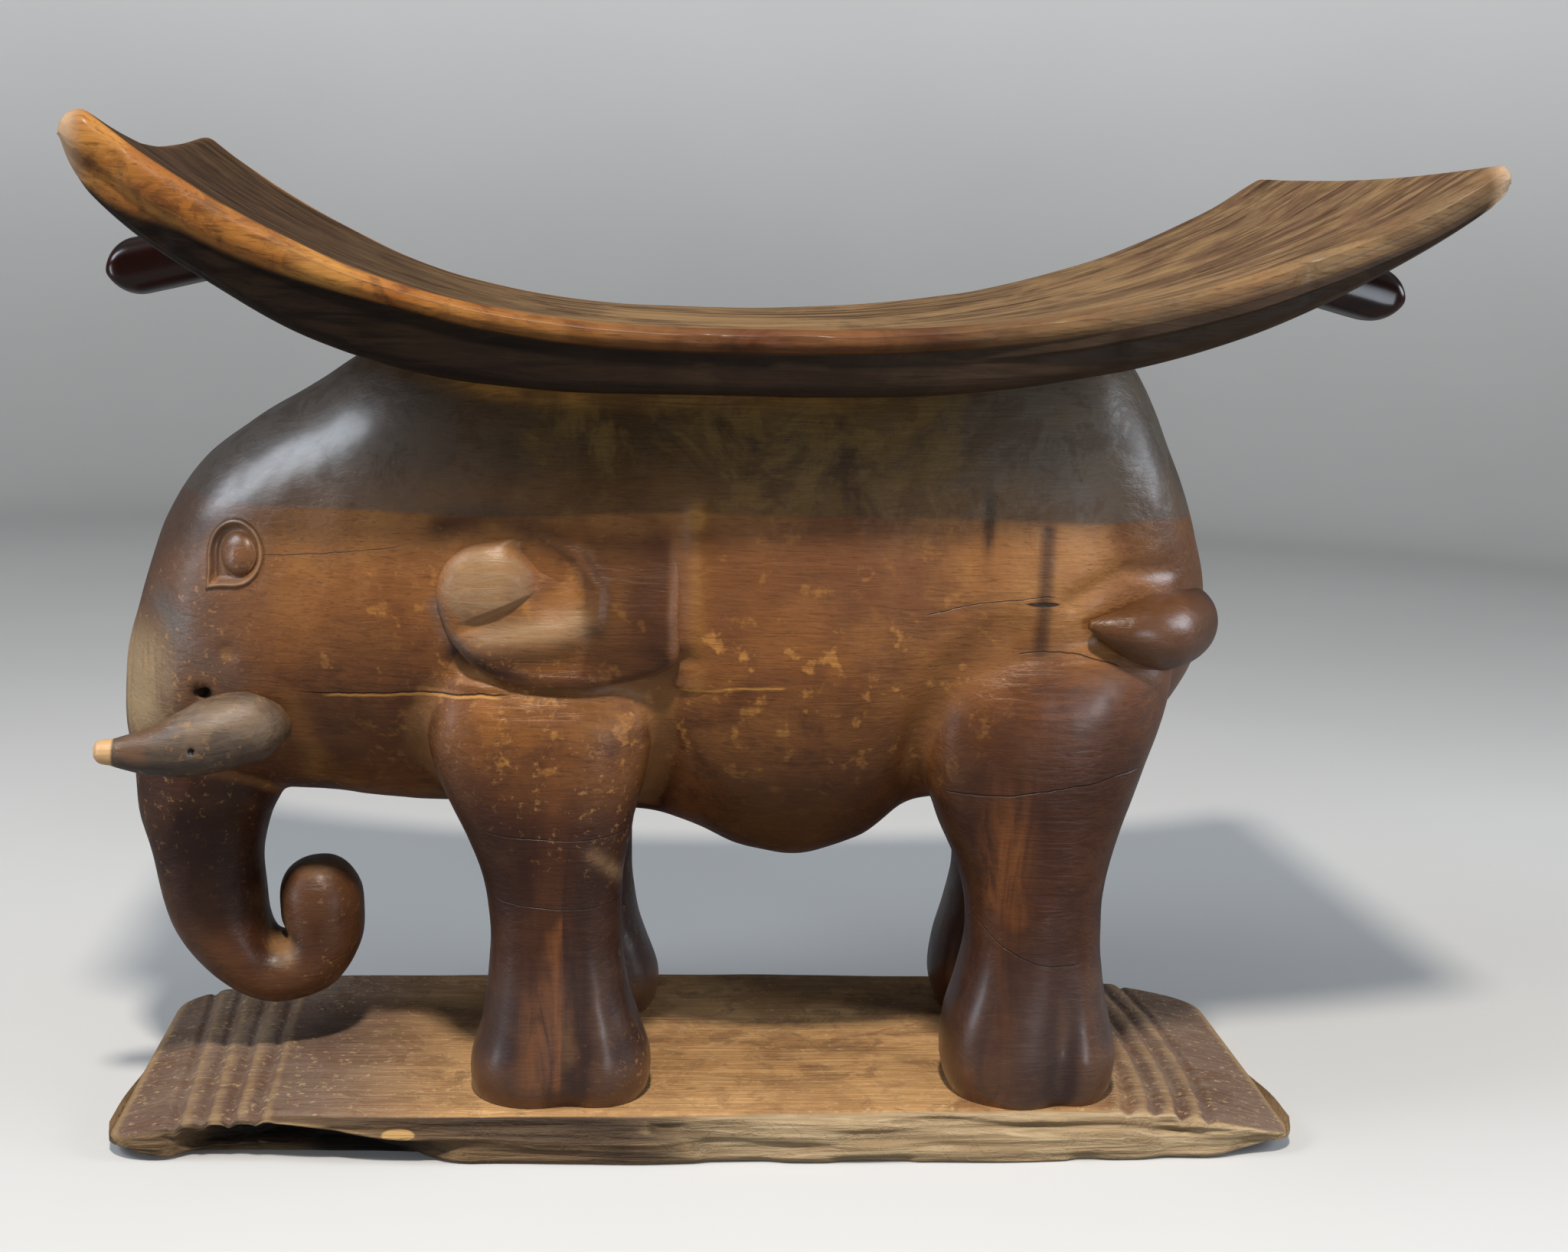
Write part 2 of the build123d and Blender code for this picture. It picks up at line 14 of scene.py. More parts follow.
import bmesh
import bpy
import numpy as np
from mathutils import Matrix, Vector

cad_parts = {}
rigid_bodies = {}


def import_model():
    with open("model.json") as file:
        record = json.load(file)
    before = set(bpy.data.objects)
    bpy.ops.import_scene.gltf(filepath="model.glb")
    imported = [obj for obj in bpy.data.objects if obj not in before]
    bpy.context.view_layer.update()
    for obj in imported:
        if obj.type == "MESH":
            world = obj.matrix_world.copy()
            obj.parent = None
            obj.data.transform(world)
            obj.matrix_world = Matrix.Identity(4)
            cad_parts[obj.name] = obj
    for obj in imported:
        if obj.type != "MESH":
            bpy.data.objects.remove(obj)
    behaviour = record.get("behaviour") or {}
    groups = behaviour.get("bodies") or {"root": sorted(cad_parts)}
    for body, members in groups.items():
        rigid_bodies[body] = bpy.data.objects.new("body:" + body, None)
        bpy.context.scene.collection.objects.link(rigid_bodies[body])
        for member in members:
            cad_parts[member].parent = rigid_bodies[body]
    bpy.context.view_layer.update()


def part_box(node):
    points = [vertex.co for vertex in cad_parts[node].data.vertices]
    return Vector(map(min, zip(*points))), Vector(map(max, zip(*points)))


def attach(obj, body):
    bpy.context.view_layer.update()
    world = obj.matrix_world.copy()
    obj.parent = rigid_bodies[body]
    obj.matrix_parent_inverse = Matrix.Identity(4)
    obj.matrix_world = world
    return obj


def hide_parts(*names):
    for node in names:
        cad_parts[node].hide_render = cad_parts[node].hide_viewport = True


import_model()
mm = 0.001


def corners(node):
    """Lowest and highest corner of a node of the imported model, in millimetres."""
    low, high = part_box(node)
    return np.array(low) / mm, np.array(high) / mm


base_high = corners("base_plinth")[1]
seat_low, seat_high = corners("seat")
head_low = corners("head")[0]
torso_high = corners("torso")[1]
eye_low, eye_high = corners("left_eye")

# %% [markdown]
# ## Tools for skins
#
# A carver thinks in cross-sections, and so does this file. A few sections are written down as rows of numbers, a
# smooth run of sections is drawn through them, and each section is a closed ring of points. The grid of rings is
# turned into a mesh in one go. Subdivision surfaces could give the same roundness, but with rings every section stays
# a real measure of the wood.

# %% Smooth rows, rings and closed skins
def flow(rows, count):
    """count smooth rows through the given ones.

    On each span a cubic runs between two rows. Its slope at a row is the harmonic mean of the two steps beside it, or
    nought where they point opposite ways, so that no section swells past the ones that were measured."""
    rows = np.asarray(rows, float)
    step = np.diff(rows, axis=0)
    before, after = step[:-1], step[1:]
    same_way = before * after > 0
    inner = np.where(same_way, 2 * before * after / np.where(same_way, before + after, 1), 0)
    slope = np.vstack([step[:1], inner, step[-1:]])
    place = np.linspace(0, len(rows) - 1, count)
    i = np.minimum(place.astype(int), len(rows) - 2)
    t = (place - i)[:, None]
    return ((1 + 2 * t) * (1 - t) ** 2 * rows[i] + t * (1 - t) ** 2 * slope[i]
            + t ** 2 * (3 - 2 * t) * rows[i + 1] + t ** 2 * (t - 1) * slope[i + 1])


def round_loop(points, count):
    """A closed smooth line through points: Catmull-Rom, each span a cubic whose end slopes join the neighbours."""
    points = np.asarray(points, float)
    place = np.linspace(0, len(points), count, endpoint=False)
    i = place.astype(int)
    t = (place - i)[:, None]
    a, b, c, d = (points[(i + shift) % len(points)] for shift in (-1, 0, 1, 2))
    return 0.5 * (2 * b + (c - a) * t + (2 * a - 5 * b + 4 * c - d) * t ** 2 + (3 * b - a - 3 * c + d) * t ** 3)


def ease(value, low, high):
    """0 below low, 1 above high and the s-curve 3t^2 - 2t^3 between them."""
    t = np.clip((value - low) / (high - low), 0, 1)
    return t * t * (3 - 2 * t)


def fade(value, low, high):
    """1 below low, 0 above high: what ease leaves over."""
    return 1 - ease(value, low, high)


def quarter_round(share):
    """The height of a quarter circle over a share t of its foot: sqrt(1 - (1 - t)^2), and 1 beyond it."""
    return np.sqrt(np.clip(1 - (1 - np.clip(share, 0, 1)) ** 2, 0, 1))


def bump(distance, width):
    """A soft hill: 1 at no distance, falling as exp(-(distance / width)^2)."""
    return np.exp(-(distance / width) ** 2)


def full_turn(count):
    """So many even angles round a circle."""
    return np.linspace(0, 2 * np.pi, count, endpoint=False)


def signed_power(value, power):
    """|v|^p with the sign of v kept."""
    return np.sign(value) * np.abs(value) ** power


def add_object(name, data):
    """Puts a mesh, a lamp or a camera into the scene."""
    made = bpy.data.objects.new(name, data)
    bpy.context.scene.collection.objects.link(made)
    return made


def opened(mesh):
    """A copy of a mesh that can be cut and mended."""
    shell = bmesh.new()
    shell.from_mesh(mesh)
    return shell


def closed(shell, mesh):
    """Turns the faces of such a copy outwards and writes it into a mesh."""
    bmesh.ops.recalc_face_normals(shell, faces=shell.faces)
    shell.to_mesh(mesh)
    shell.free()


def skin(name, rings, welded_ends=False):
    """A closed mesh from a grid of rings, in millimetres.

    Ring i and ring i + 1 are joined by quads all round. The first and last ring close on their middle point, or with
    welded_ends they have collapsed to a line already and their doubles are merged."""
    count, around = rings.shape[:2]
    i = np.arange(count - 1)[:, None] * around
    j = np.arange(around)[None, :]
    k = (j + 1) % around
    faces = np.stack([i + j, i + k, i + around + k, i + around + j], -1).reshape(-1, 4).tolist()
    points = rings.reshape(-1, 3)
    if not welded_ends:
        first, last = count * around, count * around + 1
        points = np.vstack([points, rings[0].mean(0), rings[-1].mean(0)])
        ends = np.arange(around)
        after = (ends + 1) % around
        above = (count - 1) * around
        faces += np.stack([after, ends, np.full(around, first)], -1).tolist()
        faces += np.stack([ends + above, after + above, np.full(around, last)], -1).tolist()
    mesh = bpy.data.meshes.new(name)
    mesh.from_pydata((points * mm).tolist(), [], faces)
    shell = opened(mesh)
    if welded_ends:
        bmesh.ops.remove_doubles(shell, verts=shell.verts, dist=0.01 * mm)
    closed(shell, mesh)
    mesh.shade_smooth()
    return add_object(name, mesh)


def read_rows(items, title, width=3, kind=np.float32):
    """One row of numbers for each item of a mesh."""
    out = np.empty(len(items) * width, kind)
    items.foreach_get(title, out)
    return out.reshape(-1, width)


def places(piece):
    """All points of a piece in millimetres."""
    return read_rows(piece.data.vertices, "co").astype(float) / mm


def normals(piece):
    """The way each point of a piece faces, one long."""
    return read_rows(piece.data.vertices, "normal").astype(float)


def put(piece, points):
    """Writes points, in millimetres, back into a piece."""
    piece.data.vertices.foreach_set("co", (points * mm).astype(np.float32).ravel())
    piece.data.update()


def neighbours(piece):
    """The two ends of every edge."""
    return read_rows(piece.data.edges, "vertices", 2, np.int32)


def mean_of_neighbours(values, edges):
    """For each point, the mean of values over the points that an edge joins to it."""
    size = len(values)
    ends = np.concatenate([edges[:, 0], edges[:, 1]])
    others = np.concatenate([edges[:, 1], edges[:, 0]])
    share = 1.0 / np.maximum(np.bincount(ends, minlength=size), 1)
    columns = [np.bincount(ends, values[others, axis], size) * share for axis in range(values.shape[1])]
    return np.stack(columns, 1)


print("tools for skins are ready")

# %% [markdown]
# ## Random, but always the same
#
# A knife leaves swells and flats, and old wood chips along its fibres. Both come from one smooth random field. Its
# values at the corners of a lattice come from whole-number arithmetic, so every run gives the same stool.

# %% A lattice of random values
axis_primes = np.array([73856093, 19349663, 83492791])        # large primes turn three whole numbers into one
seed_prime, scatter_prime = 2654435761, 1274126177


def lumps(points, size, seed=0):
    """A smooth random field between -1 and 1 whose lumps are about size across, one number or one for each axis.

    The lattice corners round a point hold random values. They are mixed by the s-curve 3t^2 - 2t^3 on each axis. The
    points may stand in a list or in a grid of rings."""
    place = points / np.asarray(size, float)
    cell = np.floor(place).astype(np.int64)
    t = ease(place - cell, 0, 1)
    total = np.zeros(points.shape[:-1])
    for corner in np.ndindex(2, 2, 2):
        key = (cell + corner) @ axis_primes + seed * seed_prime
        key = (key ^ (key >> 13)) * scatter_prime & 0xFFFFFFFF
        value = ((key ^ (key >> 16)) & 0xFFFF) / 32767.5 - 1
        total += value * np.prod(np.where(np.array(corner) == 1, t, 1 - t), axis=-1)
    return total


def hand_cut(points, strength=1.0):
    """How far a hand-cut surface strays from its true form, in millimetres: broad swells and the knife's flats."""
    swell = 0.7 * lumps(points, 48, 3) + 0.35 * lumps(points, 21, 5)
    flats = 0.16 * lumps(points, (9, 9, 13), 7)
    return strength * (swell + flats)


def carve_by_hand(piece, strength):
    """Moves each point of a piece along its normal by those swells and flats."""
    points = places(piece)
    put(piece, points + normals(piece) * hand_cut(points, strength)[:, None])


print("random field, sample", np.round(lumps(np.array([[10.0, 20.0, 30.0], [11.0, 20.0, 30.0]]), 20), 3))

# %% [markdown]
# ## The elephant's main forms
#
# Body and head are one run of sections from brow to rump. Each section is an oval with its own top, bottom, widest
# height and squareness: |y/a|^n + |z/b|^n = 1. The legs are stacks of ovals from sole to shoulder, and the trunk is a
# stack that turns as it goes down and curls up. All of them reach into each other, because the next step melts them.

# %% Sections of body, legs and trunk
face_x, rump_x = head_low[0], torso_high[0]
under_low = seat_low[2]
base_top = base_high[2]
low_x = -10.0                      # the lowest place along the seat
head_end, tail_end = seat_low[0], 315.0
limb_seam = 140.0                  # legs and trunk are parted here, below the hollows round their roots
neck_x = -100.0


def underside(to_head, to_tail):
    """The seat's underside rises by powers 3.4 and 2.8 of the way to its two ends."""
    return under_low + 95 * to_head ** 3.4 + 92 * to_tail ** 2.8


def under_height(x):
    """Height of the seat's underside over a place along the stool."""
    to_head, to_tail = (low_x - x) / (low_x - head_end), (x - low_x) / (tail_end - low_x)
    return underside(np.clip(to_head, 0, None), np.clip(to_tail, 0, None))


def oval_ring(centre, along, across, half_along, half_across, power, around=72):
    """A ring of points centre + along a cos^(2/n) + across b sin^(2/n), with the signs kept."""
    turn = full_turn(around)[None, :, None]
    c, s = signed_power(np.cos(turn), 2 / power), signed_power(np.sin(turn), 2 / power)
    return centre[:, None] + along[:, None] * half_along[:, None, None] * c \
        + across[:, None] * half_across[:, None, None] * s


def make_body():
    """Brow to rump. A ring has its widest height z0, half width w and the heights of its top and bottom:
    y = w cos^(2/n), z = z0 + (top - z0) sin^(2/n) above and z0 - (z0 - bottom) sin^(2/n) below. It is squarer above,
    with n = 2.6, than below, where n = 2 lets the belly hang round."""
    rows = [
        # x, top, bottom, half width, how far down the widest height lies (0 top, 1 bottom)
        (face_x, 206, 186, 15, 0.5),
        (face_x + 2, 230, 174, 27, 0.5),
        (face_x + 9, 257, 160, 38, 0.55),
        (face_x + 21, 291, 157, 51, 0.55),
        (face_x + 37, 317, 157, 61, 0.54),
        (face_x + 62, 338, 157, 69, 0.52),
        (face_x + 92, 356, 156, 76, 0.50),
        (face_x + 122, 376, 153, 83, 0.50),
        (neck_x, 400, 150, 89, 0.50),
        (neck_x + 66, 408, 148, 93, 0.52),
        (neck_x + 115, 408, 129, 95, 0.50),
        (neck_x + 140, 408, 125, 95, 0.50),
        (neck_x + 172, 408, 134, 95, 0.50),
        (neck_x + 200, 408, 154, 95, 0.50),
        (rump_x - 82, 408, 160, 93, 0.48),
        (rump_x - 48, 380, 176, 84, 0.46),
        (rump_x - 27, 340, 194, 70, 0.46),
        (rump_x - 14, 308, 210, 53, 0.48),
        (rump_x - 5, 280, 226, 34, 0.5),
        (rump_x, 264, 240, 16, 0.5),
    ]
    x, top, bottom, half, down = flow(rows, 200).T[:, :, None]
    middle = top - (top - bottom) * down
    turn = full_turn(144)[None]
    c, s = np.cos(turn), np.sin(turn)
    share = 2 / np.where(s > 0, 2.6, 2.0)
    y, rise = half * signed_power(c, share), signed_power(s, share)
    z = np.where(s > 0, middle + (top - middle) * rise, middle + (middle - bottom) * rise)
    z = np.minimum(z, under_height(x) + 4)
    return skin("body_run", np.stack([x + 0 * y, y, z], -1))


leg_aside = 60.0                   # from the middle plane to the middle of a leg
leg_rows = {
    # height, front x, rear x, half width, depth of the valley between the toes
    "front": [
        (base_top - 5, -112, -36, 31, 0.15), (base_top + 3, -115.5, -31, 34, 0.15),
        (base_top + 15, -116.5, -29.5, 36, 0.15), (base_top + 32, -112, -35, 34.5, 0.13),
        (base_top + 51, -109, -41.5, 32, 0.09), (base_top + 75, -107, -45, 30, 0.05),
        (base_top + 91, -108.5, -45, 30, 0.02), (base_top + 107, -112, -44.5, 31, 0),
        (150, -119, -41, 33, 0), (168, -128, -36, 34.5, 0), (186, -135.5, -31, 35.5, 0), (204, -140, -27, 35.5, 0),
        (220, -139, -26, 33.5, 0), (233, -130, -33, 28, 0), (241, -114, -48, 17, 0)],
    "hind": [
        (base_top - 5, 119, 190, 31, 0.16), (base_top + 3, 114, 194, 34, 0.16),
        (base_top + 19, 110.5, 196, 36, 0.16), (base_top + 36, 112, 192.5, 34, 0.14),
        (base_top + 55, 117, 188.5, 32, 0.10), (base_top + 78, 121, 185.5, 30.5, 0.05),
        (base_top + 94, 120, 185.5, 30.5, 0.02), (base_top + 114, 114, 187.5, 32, 0),
        (158, 104, 192.5, 34, 0), (177, 95, 198.5, 36, 0), (196, 92, 204.5, 37, 0), (216, 93, 210, 37, 0),
        (234, 101, 213, 34, 0), (248, 121, 208, 27.5, 0), (257, 142, 190, 17, 0)]}
clefts = {"front": -70.0, "hind": 163.0}     # where the valley between the toes lies


def make_leg_run(name, place, side, shift):
    """Sole to shoulder: ovals between the front and rear outlines that are written for each height. The foot swells
    into two toes: the radius is multiplied by 1 - d exp(-(a / w)^2), a being the angle from the cleft."""
    z, front, rear, half_wide, valley = flow(leg_rows[place], 110).T
    shift = shift * fade(z, 150, 235)          # the right legs stand further back, their tops don't
    middle = np.stack([(front + rear) / 2 + shift, np.full_like(z, side * leg_aside), z], -1)
    half_long = (rear - front) / 2
    along = np.tile([1.0, 0, 0], (len(z), 1))
    across = np.tile([0, float(side), 0], (len(z), 1))
    rings = oval_ring(middle, along, across, half_long, half_wide, 2.55)
    turn = full_turn(rings.shape[1])[None, :, None]
    cleft = np.arccos(np.clip((clefts[place] + shift - middle[:, 0]) / half_long, -0.9, 0.9))[:, None, None]
    cut = 1 - valley[:, None, None] * bump(turn - cleft, 0.20)
    return skin(name, middle[:, None] + (rings - middle[:, None]) * cut)


def make_trunk_run():
    """The trunk's middle line with the way it heads, in degrees: 0 is down, 90 level towards the tail, 180 up."""
    root = face_x + 39.5
    curl = -194.0
    rows = [
        # x, height, heading, half length, half width
        (root + 4, 204, 0, 36, 34),
        (root, 176, 0, 38.5, 37),
        (root - 2, 158, 0, 36, 35.5),
        (root - 5, 140, 1, 31, 30.5),
        (root - 4, 119, 5, 26, 27),
        (root - 0.5, 97, 14, 24, 26),
        (root + 9, 76, 40, 20, 25.5),
        (root + 28, 62, 85, 16, 24.5),
        (curl - 3, 69.5, 132, 17, 23.5),
        (curl + 0.5, 86, 172, 20.5, 23),
        (curl, 101, 180, 20.5, 22),
        (curl - 1.5, 110, 184, 17.5, 19),
        (curl - 3, 116, 188, 12.5, 14),
        (curl - 3.5, 119, 190, 6.5, 8),
    ]
    x, z, heading, half_long, half_wide = flow(rows, 130).T
    turn = np.radians(heading)
    middle = np.stack([x, 0 * x, z], -1)
    along = np.stack([-np.cos(turn), 0 * x, -np.sin(turn)], -1)
    across = np.tile([0, 1.0, 0], (len(x), 1))
    return skin("trunk_run", oval_ring(middle, along, across, half_long, half_wide, 2.25))


legs = {}
for place in leg_rows:
    left_x = corners(f"left_{place}_leg")[0][0]
    for hand, side in (("left", -1), ("right", 1)):
        name = f"{hand}_{place}_leg"
        legs[name] = (place, side, corners(name)[0][0] - left_x)
runs = [make_body(), make_trunk_run()]
runs += [make_leg_run(name + "_run", *sizes) for name, sizes in legs.items()]
print("runs:", [(piece.name, len(piece.data.vertices)) for piece in runs])

# %% [markdown]
# ## Melting the forms into one carving
#
# Where a leg meets the belly a carver leaves a soft hollow, not a sharp seam. Booleans would leave the seam. Instead
# the runs are joined, a voxel remesh keeps only their common outside, and the points are then relaxed towards their
# neighbours, which fills the seams like a gouge would. A short push back keeps the forms from shrinking.

# %% Join, remesh and relax
grid_size = 1.9 * mm


def melt(name, parts):
    """One even mesh of the outside of all parts."""
    with bpy.context.temp_override(active_object=parts[0], selected_editable_objects=parts):
        bpy.ops.object.join()
    whole = parts[0]
    remesh = whole.modifiers.new("melt", "REMESH")
    remesh.mode = "VOXEL"
    remesh.voxel_size = grid_size
    graph = bpy.context.evaluated_depsgraph_get()
    mesh = bpy.data.meshes.new_from_object(whole.evaluated_get(graph))
    mesh.name = name
    bpy.data.objects.remove(whole)
    mesh.shade_smooth()
    return add_object(name, mesh)


def relax(piece, rounds, pull=0.5, push=0.0):
    """Each point moves by pull towards the mean of its neighbours, and then by push away from it."""
    points, edges = places(piece), neighbours(piece)
    for _ in range(rounds):
        points += pull * (mean_of_neighbours(points, edges) - points)
        if push:
            points -= push * (mean_of_neighbours(points, edges) - points)
    put(piece, points)


carving = melt("carving", runs)
relax(carving, 16)
relax(carving, 10, push=0.53)
print("carving:", len(carving.data.vertices), "points")

# %% [markdown]
# ## Cutting the small forms
#
# The eye sockets, the bore above the tusk, the hollow under the ear, the jaw's flat and the rump's edge are cut into
# the melted form. Each cut is a small formula that says how deep a point sinks along its normal, so any of them can
# be made deeper by one number. The old surface is kept as a reference for the ears and eyes that lie on it.

# %% Cuts along the surface
eye_x, eye_z = (eye_low[0] + eye_high[0]) / 2 - 1.2, (eye_low[2] + eye_high[2]) / 2
eye_long, eye_tall = 11.8, 13.8               # half sizes of the eye's rim
eye_corner = math.radians(-133)
lid_inside, lid_crest = 0.72, 1.02            # where the hollow ends and the rim is highest, as shares of its radius
ball_long, ball_tall = 8.7, 9.9               # half sizes of the eyeball
plain_points = places(carving)


def corner_growth(turn):
    """How far the eye's rim is drawn out at an angle: 1 + 0.56 exp(-|a| / 0.26), a being the turn away from its
    lower front corner."""
    away = np.abs((turn - eye_corner + np.pi) % (2 * np.pi) - np.pi)
    return 1 + 0.56 * np.exp(-away / 0.26)


def lid_radius(x, z):
    """1 on the rim of the eye, less inside it: an ellipse whose front lower corner is drawn out to a point."""
    dx, dz = (x - eye_x) / eye_long, (z - eye_z) / eye_tall
    return np.hypot(dx, dz) / corner_growth(np.arctan2(dz, dx))


def line_distance(x, z, path):
    """Distance in the side view to the nearest of the straight runs between the points of a path."""
    best = np.full(np.shape(x), 1e9)
    for (ax, az), (bx, bz) in zip(path[:-1], path[1:]):
        run = (bx - ax) ** 2 + (bz - az) ** 2
        t = np.clip(((x - ax) * (bx - ax) + (z - az) * (bz - az)) / run, 0, 1)
        best = np.minimum(best, np.hypot(x - ax - t * (bx - ax), z - az - t * (bz - az)))
    return best


def stroke(x, z, path, width):
    """A soft ridge along such a path: 1 on it, falling off to both sides."""
    return bump(line_distance(x, z, path), width)


def cuts(points):
    """How deep each point of the carving sinks, in millimetres."""
    x, y, z = points.T
    near = ease(-y, 5, 30)                     # only the elephant's own left side
    side = ease(np.abs(y), 18, 34)
    depth = np.zeros(len(points))
    # room for the eye inside its rim, the same on both sides
    depth += side * 5.0 * fade(lid_radius(x, z), lid_inside, 1.0)
    # the recess under the ear and the scored line behind it
    under_ear = [(-118, 235), (-98, 226), (-60, 223), (-30, 228), (-21, 238)]
    depth += side * 3.4 * stroke(x, z, under_ear, np.where(z < 224, 15.0, 5.5))
    depth += side * 1.3 * stroke(x, z, [(-15, 238), (-16, 306)], 4.5)
    # the bore above the left tusk and the small scar beside it
    depth += near * 7.0 * bump(np.hypot(x + 240, z - 213.5), 3.4)
    depth += near * 1.6 * bump(np.hypot(x + 228, z - 234), 5)
    # hollow between cheek and neck, and the flat along the jaw
    depth += side * 2.0 * stroke(x, z, [(-196, 205), (-150, 186), (-136, 214)], 13)
    # shoulder and haunch stand clear of the belly
    depth += side * 2.6 * stroke(x, z, [(-27, 222), (-26, 196), (-33, 160)], 7)
    depth += side * 2.0 * stroke(x, z, [(97, 168), (92, 205), (104, 236), (128, 254)], 10)
    # the crease round the tail's root
    depth += near * 2.0 * stroke(x, z, [(158, 270), (182, 283), (206, 283)], 5)
    return depth


points = places(carving)
out = normals(carving)
points -= out * cuts(points)[:, None]
points += out * (hand_cut(points) * ease(under_height(points[:, 0]) - points[:, 2], -1, 12))[:, None]
put(carving, points)
print("deepest cut in mm:", round(float(cuts(points).max()), 2))

# %% [markdown]
# ## Where wood is rubbed and where dust settles
#
# Polish sits on ridges and dust in hollows. Both are one number at each point: how far the point stands over the mean
# of its neighbours, along its normal. It goes into an attribute that the materials read, which works from every side
# and is kept when the model leaves Blender. The carving gets it while it is whole, because a cut would read as a ridge.

# %% A hollow-and-ridge attribute
def mark(piece, name, values):
    """Stores one number for each point under a name."""
    layer = piece.data.attributes.new(name, "FLOAT", "POINT")
    layer.data.foreach_set("value", np.asarray(values, np.float32))


def read_relief(piece, reach=14, rounds=5):
    """0.5 is flat, towards 1 a ridge and towards 0 a hollow: 0.5 + 0.9 ((p - mean) . n) / spacing, where the mean is
    taken over some rounds of smoothing, and the result is smoothed once more."""
    points, out, edges = places(piece), normals(piece), neighbours(piece)
    spacing = np.linalg.norm(points[edges[:, 0]] - points[edges[:, 1]], axis=1).mean()
    broad = points.copy()
    for _ in range(reach):
        broad += 0.5 * (mean_of_neighbours(broad, edges) - broad)
    value = ((points - broad) * out).sum(1, keepdims=True) / spacing
    for _ in range(rounds):
        value = 0.5 * value + 0.5 * mean_of_neighbours(value, edges)
    mark(piece, "relief", np.clip(0.5 + 0.9 * value[:, 0], 0, 1))


read_relief(carving, reach=22)
print("relief is stored on the carving")

# %% [markdown]
# ## Parting the carving at its necks
#
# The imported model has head, trunk, legs and torso as members of their own, and so has the finished model: each can be
# swapped or mended alone. The carving is cut by planes, and each cut is closed with a flat face. The edge round a cut
# is marked sharp, so the shading on the outside runs on over it.

# %% Cut by planes and close the cuts
def close_rim(shell, rim, normal):
    """Fills the hole inside a ring of edges with a flat face and marks the edges sharp."""
    bmesh.ops.triangle_fill(shell, edges=rim, use_beauty=True, normal=normal)
    for edge in rim:
        edge.smooth = False


def stand_alone(shell, name):
    """Turns a cut shell into a piece."""
    mesh = bpy.data.meshes.new(name)
    closed(shell, mesh)
    return add_object(name, mesh)


def cut_at(shell, spot, normal, drop_outside=True):
    """Cuts a shell by a plane and returns the edges of the cut."""
    everything = shell.verts[:] + shell.edges[:] + shell.faces[:]
    cut = bmesh.ops.bisect_plane(shell, geom=everything, plane_co=[value * mm for value in spot],
                                 plane_no=normal, clear_outer=drop_outside)
    return [part for part in cut["geom_cut"] if isinstance(part, bmesh.types.BMEdge)]


def part_off(source, name, planes):
    """A copy of source, kept only behind each plane (spot, normal) and closed again."""
    shell = opened(source.data)
    for spot, normal in planes:
        rim = cut_at(shell, spot, normal)
        if rim:
            close_rim(shell, rim, normal)
    return stand_alone(shell, name)


def without_limbs(source):
    """The carving without legs and trunk below their seam; the belly, which hangs lower, stays."""
    shell = opened(source.data)
    cut_at(shell, (0, 0, limb_seam), down, drop_outside=False)
    shell.faces.ensure_lookup_table()
    gone = [face for face in shell.faces if belongs_to_limb(face.calc_center_median())]
    bmesh.ops.delete(shell, geom=gone, context="FACES")
    close_rim(shell, [edge for edge in shell.edges if edge.is_boundary], down)
    return stand_alone(shell, "upper_carving")


def belongs_to_limb(middle):
    """Whether a face with this middle is part of a leg or the trunk below their seam."""
    x, z = middle[0] / mm, middle[2] / mm
    return z < limb_seam and not front_behind < x < hind_ahead


front_behind, hind_ahead = -12.0, 92.0        # the belly hangs between these places
up, down, ahead, behind = (0, 0, 1), (0, 0, -1), (-1, 0, 0), (1, 0, 0)
trunk_behind = -150.0                         # between trunk and front legs
members = {"trunk": part_off(carving, "carved_trunk", [((0, 0, limb_seam), up), ((trunk_behind, 0, 0), behind)])}
for name, (place, side, _) in legs.items():
    ends = (trunk_behind, front_behind) if place == "front" else (hind_ahead, rump_x + 20)
    members[name] = part_off(carving, "carved_" + name, [
        ((0, 0, limb_seam), up), ((0, 0, 0), (0, -side, 0)), ((ends[0], 0, 0), ahead), ((ends[1], 0, 0), behind)])
upper = without_limbs(carving)
members["head"] = part_off(upper, "carved_head", [((neck_x, 0, 0), behind)])
members["torso"] = part_off(upper, "carved_torso", [((neck_x, 0, 0), ahead)])
for whole in (carving, upper):
    bpy.data.objects.remove(whole)
for name, piece in members.items():
    print("carved", name, len(piece.data.polygons), "faces")

# %% [markdown]
# ## The flank as a map
#
# Ears and eyes lie on the elephant's side like coins on a cheek, so they have to know where the side is. The carving's
# points are read once into a small map from a place in the side view (x, z) to the distance from the middle plane.
# Casting a ray for every point would do the same, but a map can be asked for thousands of points at once.

